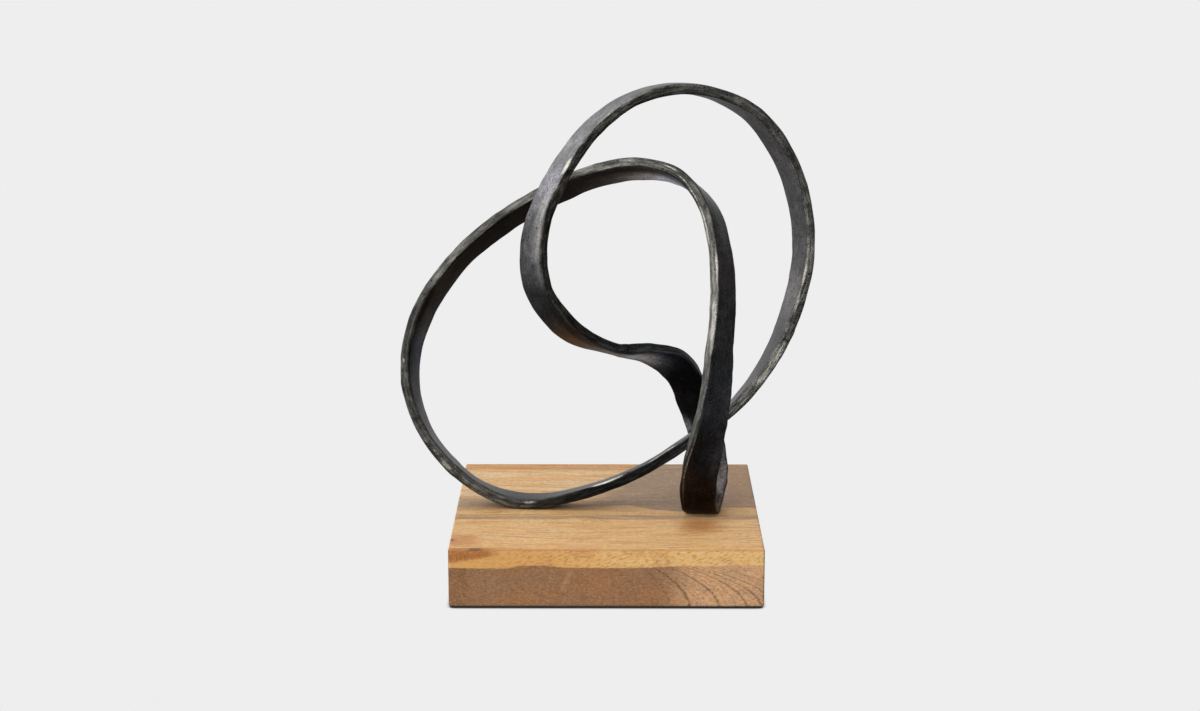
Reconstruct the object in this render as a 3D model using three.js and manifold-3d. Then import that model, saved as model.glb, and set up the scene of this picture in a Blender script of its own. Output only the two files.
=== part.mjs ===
// A knot of forged flat bar on a square block of solid wood.
// One flat bar runs through a closed knot with three crossings. It stands on the block at two
// places: a left one, where the bar lies flat, and a right one, where it makes a tight U-turn.
// The bar is made of three lengths, butt welded end to end. A screw comes up through the block
// into each seat. Millimetres, +Z up, +Y away from the viewer, origin under the block's middle.
import * as THREE from "three";
import { mergeVertices } from "three/addons/utils/BufferGeometryUtils.js";
import { RoundedBoxGeometry } from "three/addons/geometries/RoundedBoxGeometry.js";
import Module from "manifold-3d";

const wasm = await Module();
wasm.setup();

// Block of wood
const BLOCK_WIDTH = 200;
const BLOCK_DEPTH = 200;
const BLOCK_THICKNESS = 38;
const BLOCK_EDGE = 2.5; // radius of every edge

// Felt pads under the block
const PAD_DIAMETER = 22;
const PAD_THICKNESS = 1.2;
const PAD_INSET = 20; // from the block's sides to the middle of a pad

// Flat bar
const BAR_WIDTH = 20;
const BAR_THICKNESS = 6.8;
const BAR_CORNER = 2; // radius along the bar's four edges
const CROSSING_GAP = 4; // least room that the route leaves between two bars that cross
const SEAT_FLAT = 0.5; // filed off the bar where it stands on the block
const HAMMER_WIDTH = 0.35; // how far hammering moves each narrow face
const HAMMER_THICKNESS = 0.2; // and each wide face
const RING_STEP = 7; // distance between two sections of the swept bar

// Butt welds
const GROOVE_WIDTH = 5; // weld metal across the wide face
const ROOT_WIDTH = 1.2; // weld metal at the middle of the bar's thickness
const FIT = 0.3; // between pieces that touch in a turned place
const CUT_OVER = 1; // how far a cut runs out past the face that it opens

// Screws and washers
const SCREW_DIAMETER = 5;
const SCREW_LENGTH = 25; // under the head
const HEAD_DIAMETER = 8.5;
const HEAD_HEIGHT = 5;
const SOCKET_FLATS = 4; // hexagon, across the flats
const SOCKET_DEPTH = 2.6;
const WASHER_DIAMETER = 14;
const WASHER_THICKNESS = 1.2;
const THREAD_ROOF = 1.6; // metal left over the end of a threaded hole
const COUNTERBORE_PLAY = 1; // round the washer
const HOLE_PLAY = 0.5; // round the screw in the wood
const SMALL_SIDES = 24; // of a round piece or hole about as thick as a screw
const LARGE_SIDES = 32; // of a round piece or hole thicker than that

// Heights that follow from the sizes above
const blockTop = PAD_THICKNESS + BLOCK_THICKNESS;
const seatCentre = blockTop + BAR_THICKNESS / 2 - SEAT_FLAT; // the bar's middle at a seat
const threadDepth = BAR_THICKNESS - SEAT_FLAT - THREAD_ROOF;
const headUnderside = blockTop + threadDepth - FIT - SCREW_LENGTH;

// The route of the bar's middle line, once round the knot. A row holds how far right of the
// block's middle it is, how high above the seats, and how far behind the block's middle in
// lays, then the way the bar's first wide face looks there (right, away, up), and how much
// forging spread the bar in width. A lay is the distance from bar to bar at a crossing, so a
// wider bar opens the crossings. After one lap the two wide faces have changed places.
const LAY = BAR_WIDTH + CROSSING_GAP;
const ROUTE = [
  // left seat, and round the left loop
  [-56, 0, -0.12, 0.08, 0.03, 1, 0],
  [-89.5, 12.5, -0.08, 0.57, 0.12, 0.81, 0],
  [-119.4, 45.3, 0, 0.87, 0, 0.49, 0],
  [-130.5, 84.5, 0.12, 0.97, -0.25, 0.06, 0],
  [-122.5, 124, 0.25, 0.81, -0.51, -0.3, 0],
  [-99, 160, 0.38, 0.65, -0.54, -0.54, 0],
  [-68, 186.5, 0.42, 0.47, -0.61, -0.64, 0],
  [-38.5, 204, 0.42, 0.34, -0.64, -0.69, 0],
  // over the top of the left loop, where the bar twists to face the viewer
  [-11, 216.5, 0.33, 0.16, -0.67, -0.72, 0],
  [21.5, 223, 0.17, -0.08, -0.6, -0.79, 0],
  [47, 218.5, -0.08, -0.5, -0.29, -0.81, 0],
  [64.6, 201.4, -0.33, -0.79, 0.2, -0.57, 0],
  // down the front strut to the right seat
  [73, 175.5, -0.58, -0.83, 0.5, -0.25, 0],
  [75.5, 140.5, -0.87, -0.76, 0.64, -0.12, 0],
  [73, 108.5, -1.15, -0.68, 0.73, -0.06, 0.5],
  [70.5, 79.5, -1.33, -0.5, 0.86, -0.02, 1],
  [65, 49.5, -1.42, -0.3, 0.95, 0, 2.5],
  [60.5, 25, -1.43, 0.15, 0.99, 0.08, 3.5],
  // the U-turn
  [61, 5.5, -1.2, 0.12, 0.81, 0.57, 3.5],
  [64, 0, -0.67, 0, 0.02, 1, 2.5],
  [67, 5, -0.17, 0, -0.74, 0.67, 2],
  // up behind the front strut, and left along the waist
  [70, 19.5, 0.06, 0, -0.98, 0.2, 2],
  [65.5, 45, 0.17, -0.03, -1, 0.05, 2],
  [60, 63.5, 0.17, -0.1, -0.99, -0.06, 2],
  [47, 90.5, 0.12, -0.17, -0.96, -0.23, 2],
  [28.5, 100.3, 0.04, -0.16, -0.64, -0.75, 0],
  [5, 104.1, -0.08, -0.25, -0.32, -0.92, -0.5],
  [-24.2, 117.5, -0.25, -0.48, -0.64, -0.6, 1.5],
  // up the middle strut and round the big loop
  [-45, 147.5, -0.42, -0.65, -0.71, -0.28, 1.5],
  [-46, 184, -0.54, -0.79, -0.6, 0.11, 1],
  [-32.5, 219, -0.58, -0.79, -0.44, 0.43, 0],
  [-9.5, 251.5, -0.5, -0.67, -0.27, 0.69, 0],
  [18.5, 271, -0.38, -0.36, -0.06, 0.93, 0],
  [53.5, 276.4, -0.25, 0.11, 0.12, 0.99, 0],
  [90.9, 261.9, -0.08, 0.5, 0.38, 0.78, 0],
  [114.3, 232.8, 0, 0.74, 0.51, 0.44, 0],
  [126, 199.5, 0, 0.85, 0.49, 0.18, 0],
  [128.5, 166.5, -0.04, 0.9, 0.42, -0.09, 0],
  [121, 130.5, -0.15, 0.9, 0.29, -0.32, 0],
  [106.6, 97.6, -0.3, 0.85, 0.12, -0.52, 0],
  // between the front strut and the rear one, and back to the left seat
  [83.5, 67.5, -0.48, 0.71, -0.09, -0.7, 0],
  [53, 44.5, -0.65, 0.57, -0.16, -0.8, 0],
  [22.5, 24, -0.54, 0.45, -0.17, -0.88, 0],
  [-17.5, 7, -0.33, 0.27, -0.15, -0.95, 0],
];
const LEFT_SEAT = 0; // rows of the route
const RIGHT_SEAT = 19;
const LEFT_WELD = 1.4; // places along the route, in rows: these are where the welds are
const WAIST_WELD = 25.8;
const RIGHT_WELD = 38.4;

// Hammer marks: waves along one lap, as [waves in a lap, share of the height, where it starts]
const HAMMER_WAVES = [
  [31, 0.5, 0],
  [53, 0.3, 1.1],
  [87, 0.2, 2.3],
];

const iron = new THREE.MeshStandardMaterial({ color: 0x3a3a3c, roughness: 0.5, metalness: 0.9 });
const weldIron = new THREE.MeshStandardMaterial({ color: 0x48484a, roughness: 0.5, metalness: 0.9 });
const wood = new THREE.MeshStandardMaterial({ color: 0xb98a5c, roughness: 0.6, metalness: 0 });
const zinc = new THREE.MeshStandardMaterial({ color: 0x9c9ea1, roughness: 0.4, metalness: 1 });
const felt = new THREE.MeshStandardMaterial({ color: 0x241f1c, roughness: 1, metalness: 0 });

// A closed geometry as a manifold-3d solid.
function solid(geometry) {
  const plain = geometry.clone();
  plain.deleteAttribute("normal");
  plain.deleteAttribute("uv");
  const merged = mergeVertices(plain, 1e-4);
  const vertProperties = merged.attributes.position.array;
  const triVerts = new Uint32Array(merged.index.array);
  return new wasm.Manifold(new wasm.Mesh({ numProp: 3, vertProperties, triVerts }));
}

// A manifold-3d solid as a geometry.
function geometryOf(body) {
  const mesh = body.getMesh();
  const geometry = new THREE.BufferGeometry();
  const positions = new THREE.BufferAttribute(new Float32Array(mesh.vertProperties), 3);
  geometry.setAttribute("position", positions);
  geometry.setIndex(new THREE.BufferAttribute(new Uint32Array(mesh.triVerts), 1));
  geometry.computeVertexNormals();
  return geometry;
}

// An upright cylinder that stands from one height to another.
function post(diameter, bottom, top, x, y, sides = LARGE_SIDES) {
  const geometry = new THREE.CylinderGeometry(diameter / 2, diameter / 2, top - bottom, sides);
  geometry.rotateX(Math.PI / 2);
  geometry.translate(x, y, (bottom + top) / 2);
  return geometry;
}

// Row i of the route, in millimetres. Each lap turns the faces over once.
function station(i) {
  const count = ROUTE.length;
  const lap = Math.floor(i / count);
  const [right, high, depth, faceX, faceY, faceZ, spread] = ROUTE[i - lap * count];
  const turned = lap % 2 === 0 ? 1 : -1;
  return {
    at: new THREE.Vector3(right, depth * LAY, seatCentre + high),
    face: new THREE.Vector3(faceX, faceY, faceZ).multiplyScalar(turned),
    spread,
  };
}

// The value between b and c at t, on a curve through a, b, c and d. The steps are the square
// roots of the distances between the four, which keeps the curve smooth where rows are close.
function through(a, b, c, d, steps, t) {
  const [s0, s1, s2] = steps;
  const leave = ((b - a) / s0 - (c - a) / (s0 + s1) + (c - b) / s1) * s1;
  const arrive = ((c - b) / s1 - (d - b) / (s1 + s2) + (d - c) / s2) * s1;
  const t2 = t * t;
  const t3 = t2 * t;
  const start = (2 * t3 - 3 * t2 + 1) * b + (t3 - 2 * t2 + t) * leave;
  return start + (3 * t2 - 2 * t3) * c + (t3 - t2) * arrive;
}

// Middle, face and spread of the bar at a place, which is a row number with a fraction.
function place(where) {
  const row = Math.floor(where);
  const t = where - row;
  const four = [-1, 0, 1, 2].map((k) => station(row + k));
  const steps = [0, 1, 2].map((k) => Math.sqrt(four[k].at.distanceTo(four[k + 1].at)));
  const blend = (pick) => through(...four.map(pick), steps, t);
  return {
    at: new THREE.Vector3(...["x", "y", "z"].map((axis) => blend((s) => s.at[axis]))),
    face: new THREE.Vector3(...["x", "y", "z"].map((axis) => blend((s) => s.face[axis]))),
    spread: blend((s) => s.spread),
  };
}

// The bar's own axes at a place: along it, out of its first wide face, and across its width.
function axes(where) {
  const near = 0.01;
  const here = place(where);
  const along = place(where + near).at.sub(place(where - near).at).normalize();
  const out = here.face.addScaledVector(along, -here.face.dot(along)).normalize();
  return { at: here.at, spread: here.spread, along, out, across: along.clone().cross(out) };
}

// Height of the hammer marks at a place, from -1 to 1.
function hammer(where, shift) {
  const angle = (2 * Math.PI * where) / ROUTE.length;
  const waves = HAMMER_WAVES.map(([n, share, start]) => share * Math.sin(n * angle + start + shift));
  return waves.reduce((sum, wave) => sum + wave, 0);
}

// Corner points of the bar's section, as [across, out]: three points round each corner.
function section(halfWidth, halfThickness) {
  const quarter = Math.PI / 2;
  const middles = [[1, 1], [-1, 1], [-1, -1], [1, -1]];
  const corner = ([sideX, sideY], k) =>
    [0, 0.5, 1].map((part) => [
      sideX * (halfWidth - BAR_CORNER) + BAR_CORNER * Math.cos((k + part) * quarter),
      sideY * (halfThickness - BAR_CORNER) + BAR_CORNER * Math.sin((k + part) * quarter),
    ]);
  return middles.flatMap(corner);
}

// The places of the sections between two places on the route, at least three to each row.
function ringPlaces(from, to) {
  const places = [];
  for (let row = Math.floor(from); row < to; row += 1) {
    const span = station(row).at.distanceTo(station(row + 1).at);
    const rings = Math.max(3, Math.ceil(span / RING_STEP));
    for (let k = 0; k < rings; k += 1) places.push(row + k / rings);
  }
  const apart = 0.05; // no section crowds an end
  const inside = places.filter((where) => where > from + apart && where < to - apart);
  return [from, ...inside, to];
}

// A closed stretch of bar between two places on the route, with flat ends.
function barBetween(from, to) {
  const positions = [];
  const index = [];
  const places = ringPlaces(from, to);
  places.forEach((where) => {
    const { at, spread, out, across } = axes(where);
    const halfWidth = (BAR_WIDTH + spread) / 2 + HAMMER_WIDTH * hammer(where, 0);
    const halfThickness = BAR_THICKNESS / 2 + HAMMER_THICKNESS * hammer(where, 2);
    section(halfWidth, halfThickness).forEach(([x, y]) => {
      const point = at.clone().addScaledVector(across, x).addScaledVector(out, y);
      positions.push(...point.toArray());
    });
  });
  const round = section(BAR_WIDTH / 2, BAR_THICKNESS / 2).length;
  for (let ring = 0; ring + 1 < places.length; ring += 1) {
    for (let k = 0; k < round; k += 1) {
      const a = ring * round + k;
      const b = ring * round + ((k + 1) % round);
      index.push(a, b + round, b, a, a + round, b + round);
    }
  }
  const last = (places.length - 1) * round;
  for (let k = 1; k + 1 < round; k += 1) {
    index.push(0, k, k + 1);
    index.push(last, last + k + 1, last + k);
  }
  const geometry = new THREE.BufferGeometry();
  geometry.setAttribute("position", new THREE.Float32BufferAttribute(positions, 3));
  geometry.setIndex(index);
  return geometry;
}

// The weld metal's outline is an hourglass, wide at both wide faces and narrow in the middle.
// It is drawn along and out of the bar, and runs across the bar's whole width.
function hourglass(where, grow) {
  const slope = (GROOVE_WIDTH - ROOT_WIDTH) / BAR_THICKNESS;
  const waist = ROOT_WIDTH / 2 + grow;
  const high = BAR_THICKNESS / 2 + CUT_OVER;
  const wide = waist + slope * high;
  const outline = new THREE.Shape();
  outline.moveTo(-wide, -high);
  outline.lineTo(wide, -high);
  outline.lineTo(waist, 0);
  outline.lineTo(wide, high);
  outline.lineTo(-wide, high);
  outline.lineTo(-waist, 0);
  const depth = 2 * BAR_WIDTH;
  const prism = new THREE.ExtrudeGeometry(outline, { depth, bevelEnabled: false });
  const { at, along, out, across } = axes(where);
  prism.translate(0, 0, -depth / 2);
  prism.applyMatrix4(new THREE.Matrix4().makeBasis(along, out, across).setPosition(at));
  return solid(prism);
}

// The weld metal itself, dressed flush with the bar.
function weld(where) {
  const reach = 0.5; // rows of the route on each side
  return geometryOf(solid(barBetween(where - reach, where + reach)).intersect(hourglass(where, 0)));
}

// What is filed off under the bar, so that it sits flat on the block.
function belowBlockTop() {
  const sink = 10;
  const slab = new THREE.BoxGeometry(2 * BLOCK_WIDTH, 2 * BLOCK_DEPTH, sink);
  slab.translate(0, 0, blockTop - sink / 2);
  return solid(slab);
}

// Screw places, straight under the middle of each seat.
const seats = [LEFT_SEAT, RIGHT_SEAT].map((row) => station(row).at);

// A length of bar between two welds, grooved at both ends, filed and drilled at its seats.
function barLength(from, to) {
  let body = solid(barBetween(from, to));
  body = body.subtract(hourglass(from, FIT)).subtract(hourglass(to, FIT));
  body = body.subtract(belowBlockTop());
  seats.forEach(({ x, y }) => {
    const bore = SCREW_DIAMETER + 2 * FIT;
    const hole = post(bore, blockTop - CUT_OVER, blockTop + threadDepth, x, y, SMALL_SIDES);
    body = body.subtract(solid(hole));
  });
  return geometryOf(body);
}

// The block, with a counterbored hole for each screw.
function block() {
  const box = new RoundedBoxGeometry(BLOCK_WIDTH, BLOCK_DEPTH, BLOCK_THICKNESS, 3, BLOCK_EDGE);
  box.translate(0, 0, PAD_THICKNESS + BLOCK_THICKNESS / 2);
  let body = solid(box);
  const washerSeat = headUnderside + WASHER_THICKNESS;
  seats.forEach(({ x, y }) => {
    const counterbore = post(WASHER_DIAMETER + 2 * COUNTERBORE_PLAY, 0, washerSeat, x, y);
    const shankHole = post(SCREW_DIAMETER + 2 * HOLE_PLAY, 0, blockTop + CUT_OVER, x, y);
    body = body.subtract(solid(counterbore)).subtract(solid(shankHole));
  });
  return geometryOf(body);
}

// A closed profile of [radius, height] points turned round an upright axis.
function turned(points, sides = LARGE_SIDES) {
  const geometry = new THREE.LatheGeometry(points.map(([r, h]) => new THREE.Vector2(r, h)), sides);
  return geometry.rotateX(Math.PI / 2);
}

// A cap screw with its underside at height zero and its point up.
function screw() {
  const shank = SCREW_DIAMETER / 2;
  const head = HEAD_DIAMETER / 2;
  const chamfer = 0.6;
  const body = turned([
    [0, -HEAD_HEIGHT],
    [head - chamfer, -HEAD_HEIGHT],
    [head, chamfer - HEAD_HEIGHT],
    [head, 0],
    [shank, 0],
    [shank, SCREW_LENGTH - chamfer],
    [shank - chamfer, SCREW_LENGTH],
    [0, SCREW_LENGTH],
  ], SMALL_SIDES);
  const acrossCorners = SOCKET_FLATS / Math.cos(Math.PI / 6);
  const mouth = -HEAD_HEIGHT - CUT_OVER;
  const socket = post(acrossCorners, mouth, SOCKET_DEPTH - HEAD_HEIGHT, 0, 0, 6);
  return geometryOf(solid(body).subtract(solid(socket)));
}

// A washer with its underside at height zero.
function washer() {
  const hole = SCREW_DIAMETER / 2 + FIT;
  const rim = WASHER_DIAMETER / 2;
  return turned([[hole, 0], [rim, 0], [rim, WASHER_THICKNESS], [hole, WASHER_THICKNESS], [hole, 0]]);
}

// A felt pad that stands on the ground.
function pad() {
  const rim = PAD_DIAMETER / 2;
  return turned([[0, 0], [rim, 0], [rim, PAD_THICKNESS], [0, PAD_THICKNESS]]);
}

const sculpture = new THREE.Group();

// A named piece, put in a group at a place.
function add(group, name, geometry, material, x = 0, y = 0, z = 0) {
  const mesh = new THREE.Mesh(geometry, material);
  mesh.name = name;
  mesh.position.set(x, y, z);
  group.add(mesh);
}

const stand = new THREE.Group();
add(stand, "wood_block", block(), wood);
[["left", -1], ["right", 1]].forEach(([side, sideX]) => {
  [["front", -1], ["back", 1]].forEach(([end, endY]) => {
    const x = sideX * (BLOCK_WIDTH / 2 - PAD_INSET);
    const y = endY * (BLOCK_DEPTH / 2 - PAD_INSET);
    add(stand, `felt_pad_${end}_${side}`, pad(), felt, x, y);
  });
});
sculpture.add(stand);

const knot = new THREE.Group();
const lap = ROUTE.length;
add(knot, "bar_left_loop_and_foot", barLength(LEFT_WELD, WAIST_WELD), iron);
add(knot, "bar_big_loop", barLength(WAIST_WELD, RIGHT_WELD), iron);
add(knot, "bar_low_sweep", barLength(RIGHT_WELD, LEFT_WELD + lap), iron);
add(knot, "weld_left", weld(LEFT_WELD), weldIron);
add(knot, "weld_waist", weld(WAIST_WELD), weldIron);
add(knot, "weld_right", weld(RIGHT_WELD), weldIron);
sculpture.add(knot);

const fixings = new THREE.Group();
["left", "right"].forEach((side, k) => {
  const { x, y } = seats[k];
  add(fixings, `cap_screw_${side}`, screw(), zinc, x, y, headUnderside);
  add(fixings, `washer_${side}`, washer(), zinc, x, y, headUnderside);
});
sculpture.add(fixings);

export default sculpture;
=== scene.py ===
"""A knot of forged flat bar on a square block of solid wood.

One bar runs through a closed knot with three crossings. It stands on the block at two seats, and
a screw comes up through the block into each of them. Four felt pads are under the block.
Metres, +Z up, +Y away from the viewer, origin under the block's middle.
"""
import math

import bmesh
import bpy
import numpy as np
from bpy.props import FloatProperty, FloatVectorProperty, PointerProperty
from bpy.types import Operator, Panel, PropertyGroup
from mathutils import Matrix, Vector


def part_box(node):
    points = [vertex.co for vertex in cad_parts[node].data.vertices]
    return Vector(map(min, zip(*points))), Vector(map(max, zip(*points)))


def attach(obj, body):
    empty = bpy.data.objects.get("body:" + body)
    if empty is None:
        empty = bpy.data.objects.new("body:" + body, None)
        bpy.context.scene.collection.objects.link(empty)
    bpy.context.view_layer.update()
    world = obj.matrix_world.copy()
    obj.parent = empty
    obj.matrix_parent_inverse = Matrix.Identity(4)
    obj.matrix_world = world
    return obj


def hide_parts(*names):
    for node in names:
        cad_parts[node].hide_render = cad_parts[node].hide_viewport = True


bl_info = {
    "name": "Forged knot on a wood block",
    "version": (1, 0, 0),
    "blender": (4, 5, 0),
    "location": "3D View > Sidebar > Knot",
    "description": "Builds a forged iron knot, its wood block, its fixings and a studio",
    "category": "Add Mesh",
}

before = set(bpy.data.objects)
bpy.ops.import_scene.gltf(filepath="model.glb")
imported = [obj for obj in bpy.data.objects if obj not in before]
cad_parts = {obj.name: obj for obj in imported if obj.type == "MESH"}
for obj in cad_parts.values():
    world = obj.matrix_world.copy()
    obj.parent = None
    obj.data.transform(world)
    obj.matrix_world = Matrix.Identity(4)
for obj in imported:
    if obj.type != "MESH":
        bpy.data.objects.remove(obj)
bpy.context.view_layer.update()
BLOCK_LOW, BLOCK_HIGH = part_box("wood_block")
BAR_NODES = ("bar_left_loop_and_foot", "bar_big_loop", "bar_low_sweep")
BLOCK_TOP = BLOCK_HIGH.z
BODY = "root"
MM = 0.001

# The route of the bar's middle line, once round the knot, with the CAD model's own points. A row
# holds how far right of the block's middle it is, how high above the seats, and how far behind the
# block's middle in lays, then the way the bar's first wide face looks there (right, away, up), and
# how much forging spread the bar in width. After one lap the two wide faces have changed places.
ROUTE = (
    # left seat, and round the left loop
    (-0.056, 0, -0.12, 0.08, 0.03, 1, 0),
    (-0.0895, 0.0125, -0.08, 0.57, 0.12, 0.81, 0),
    (-0.1194, 0.0453, 0, 0.87, 0, 0.49, 0),
    (-0.1305, 0.0845, 0.12, 0.97, -0.25, 0.06, 0),
    (-0.1225, 0.124, 0.25, 0.81, -0.51, -0.3, 0),
    (-0.099, 0.16, 0.38, 0.65, -0.54, -0.54, 0),
    (-0.068, 0.1865, 0.42, 0.47, -0.61, -0.64, 0),
    (-0.0385, 0.204, 0.42, 0.34, -0.64, -0.69, 0),
    # over the top of the left loop, where the bar twists to face the viewer
    (-0.011, 0.2165, 0.33, 0.16, -0.67, -0.72, 0),
    (0.0215, 0.223, 0.17, -0.08, -0.6, -0.79, 0),
    (0.047, 0.2185, -0.08, -0.5, -0.29, -0.81, 0),
    (0.0646, 0.2014, -0.33, -0.79, 0.2, -0.57, 0),
    # down the front strut to the right seat
    (0.073, 0.1755, -0.58, -0.83, 0.5, -0.25, 0),
    (0.0755, 0.1405, -0.87, -0.76, 0.64, -0.12, 0),
    (0.073, 0.1085, -1.15, -0.68, 0.73, -0.06, 0.0005),
    (0.0705, 0.0795, -1.33, -0.5, 0.86, -0.02, 0.001),
    (0.065, 0.0495, -1.42, -0.3, 0.95, 0, 0.0025),
    (0.0605, 0.025, -1.43, 0.15, 0.99, 0.08, 0.0035),
    # the U-turn
    (0.061, 0.0055, -1.2, 0.12, 0.81, 0.57, 0.0035),
    (0.064, 0, -0.67, 0, 0.02, 1, 0.0025),
    (0.067, 0.005, -0.17, 0, -0.74, 0.67, 0.002),
    # up behind the front strut, and left along the waist
    (0.07, 0.0195, 0.06, 0, -0.98, 0.2, 0.002),
    (0.0655, 0.045, 0.17, -0.03, -1, 0.05, 0.002),
    (0.06, 0.0635, 0.17, -0.1, -0.99, -0.06, 0.002),
    (0.047, 0.0905, 0.12, -0.17, -0.96, -0.23, 0.002),
    (0.0285, 0.1003, 0.04, -0.16, -0.64, -0.75, 0),
    (0.005, 0.1041, -0.08, -0.25, -0.32, -0.92, -0.0005),
    (-0.0242, 0.1175, -0.25, -0.48, -0.64, -0.6, 0.0015),
    # up the middle strut and round the big loop
    (-0.045, 0.1475, -0.42, -0.65, -0.71, -0.28, 0.0015),
    (-0.046, 0.184, -0.54, -0.79, -0.6, 0.11, 0.001),
    (-0.0325, 0.219, -0.58, -0.79, -0.44, 0.43, 0),
    (-0.0095, 0.2515, -0.5, -0.67, -0.27, 0.69, 0),
    (0.0185, 0.271, -0.38, -0.36, -0.06, 0.93, 0),
    (0.0535, 0.2764, -0.25, 0.11, 0.12, 0.99, 0),
    (0.0909, 0.2619, -0.08, 0.5, 0.38, 0.78, 0),
    (0.1143, 0.2328, 0, 0.74, 0.51, 0.44, 0),
    (0.126, 0.1995, 0, 0.85, 0.49, 0.18, 0),
    (0.1285, 0.1665, -0.04, 0.9, 0.42, -0.09, 0),
    (0.121, 0.1305, -0.15, 0.9, 0.29, -0.32, 0),
    (0.1066, 0.0976, -0.3, 0.85, 0.12, -0.52, 0),
    # between the front strut and the rear one, and back to the left seat
    (0.0835, 0.0675, -0.48, 0.71, -0.09, -0.7, 0),
    (0.053, 0.0445, -0.65, 0.57, -0.16, -0.8, 0),
    (0.0225, 0.024, -0.54, 0.45, -0.17, -0.88, 0),
    (-0.0175, 0.007, -0.33, 0.27, -0.15, -0.95, 0),
)
LAP = len(ROUTE)
LAY = 0.024  # distance between two bars that cross, middle to middle
SEAT_FLAT = 0.0005  # filed off the bar where it stands on the block
LEFT_WELD = 1.4  # places along the route, in rows
WAIST_WELD = 25.8
RIGHT_WELD = 38.4
SEAT_ROWS = {"left": 0, "right": 19}

# Dark growth rings on the front, as (place, half width, strength)
RINGS = ((0.005, 0.0004, 0.25), (0.019, 0.0004, 0.3), (0.04, 0.0006, 0.45), (0.0524, 0.0009, 0.8),
         (0.0575, 0.0003, 0.2), (0.0635, 0.0003, 0.2), (0.0713, 0.0008, 0.8), (0.0765, 0.0003, 0.3),
         (0.0825, 0.0004, 0.3), (0.089, 0.0008, 0.7), (0.094, 0.0003, 0.35), (0.0985, 0.0008, 0.7),
         (0.107, 0.0008, 0.65), (0.114, 0.0005, 0.4), (0.123, 0.0009, 0.55))

# Hammer waves along one lap, as (waves in a lap, share of the height, where it starts)
HAMMER_WAVES = ((31, 0.5, 0), (53, 0.3, 1.1), (87, 0.2, 2.3))
HAMMER_WIDTH = 0.00035
HAMMER_THICKNESS = 0.0002
RIDGE = 0.0004  # how far the metal between two blows stands above the plain section
EDGE_RIDGE = 0.0006  # the same on the narrow faces
CORNER_WANDER = 0.5  # share by which a corner's radius varies along the bar
POINTS_ROUND = (24, 7, 5)  # on a wide face, on a narrow face and round a corner of the section

# Marks on the bar: dents that single blows left, metal rubbed bare, and painted highlights along its
# edges and ridges, as (place along the route, across, out of the first face, half its length, half
# its width, brightness, depth), in rows of the route and in millimetres. Negative brightness is dark.
MARKS = (
    # left seat and left loop
    (44.62, 10, 0.5, 2, 2, -0.5, 0.4),
    (1.48, -10, -1, 6, 1.4, 0.9, 0),
    (1.75, -10, 0, 4, 1.2, 0.6, 0),
    (3.29, -10, -0.5, 1.5, 0.8, 0.9, 0),
    (3.4, -9.6, 2.6, 50, 0.8, -1, 0.2),
    (5.55, -10, -0.5, 9, 1.6, 0.25, 0),
    (6.39, -10, -1, 12, 1.8, 0.4, 0),
    (8.09, -10, -0.5, 10, 1.8, 0.4, 0),
    (8.81, -10, -1, 6, 2, 0.5, 0),
    (8.62, -10, -1.5, 0.9, 0.7, -1, 0.2),
    # painted highlight along the ridge over the top of the left loop
    (9.75, -10, -1, 6, 0.6, 0.9, 0),
    (10.19, -10, 1, 6, 0.6, 0.9, 0),
    (10.63, -10, 1.5, 7, 0.6, 0.9, 0),
    (11.21, -10, 1.9, 8, 0.8, 1.3, 0),
    (11.71, -10, 1.5, 8, 0.8, 1.2, 0),
    # front strut
    (12.4, -9.3, -2.2, 14, 0.9, 1.3, 0),
    (13.4, -9.8, -1.4, 18, 2, 0.85, 0),
    (14.3, -9.6, -1.8, 18, 0.8, 0.8, 0),
    (16.3, -9.6, -3.1, 22, 0.8, 0.75, 0),
    (17.5, -9.8, -3.2, 12, 0.7, 0.3, 0),
    (17.64, 11.8, 3.4, 6, 1, 0.6, 0),
    # waist, middle strut and big loop
    (25.87, 9.7, 3.4, 2, 1.8, -0.6, 0.5),
    (28.4, 3.2, 3.4, 2.6, 1.8, -0.7, 0.1),
    (28.2, 8.5, 3.4, 10, 2, 0.3, 0),
    (28.9, 7.5, 3.4, 18, 3.2, 0.55, 0),
    (29.6, 6, 3.4, 12, 4, 0.55, 0),
    (30.29, 9.2, 3.2, 6.5, 1.8, 1.2, 0),
    (31.35, -8.5, 3.4, 5, 0.9, -1, 0.3),
    (32.36, 7, 3.4, 12, 3, 0.3, 0),
    (32.58, 10, 2.4, 1.6, 0.7, -1, 0.2),
    (36.4, 10, -1, 8, 0.6, 0.8, 0),
    (36.85, 10, -2.1, 9, 0.8, 1.2, 0),
    (37.3, 9.8, -2.5, 9, 0.8, 1.15, 0),
    (37.85, 10, -2.1, 9, 0.7, 1.1, 0),
    (38.3, 10, -1, 7, 0.8, 0.6, 0),
    (38.8, 9.8, -0.4, 10, 2.6, 1.3, 0),
    (39.25, 9.8, 0, 9, 2.2, 0.95, 0),
    (39.75, 9.8, -1, 7, 1.3, 0.5, 0),
    # low sweep
    (42.5, 9.4, -3.2, 13, 0.9, 1.6, 0),
    (41.5, 9.5, -3.2, 16, 0.7, 1.1, 0),
    (43.83, 10, -1.9, 6, 0.9, 0.7, 0),
)

# The bar's four sides, in the order of the section's quarter turns
PLUS_EDGE, FIRST_FACE, MINUS_EDGE, SECOND_FACE = range(4)
CORNERS = np.array([[1, 1], [-1, 1], [-1, -1], [1, -1]])  # across and out, between the sides
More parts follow.
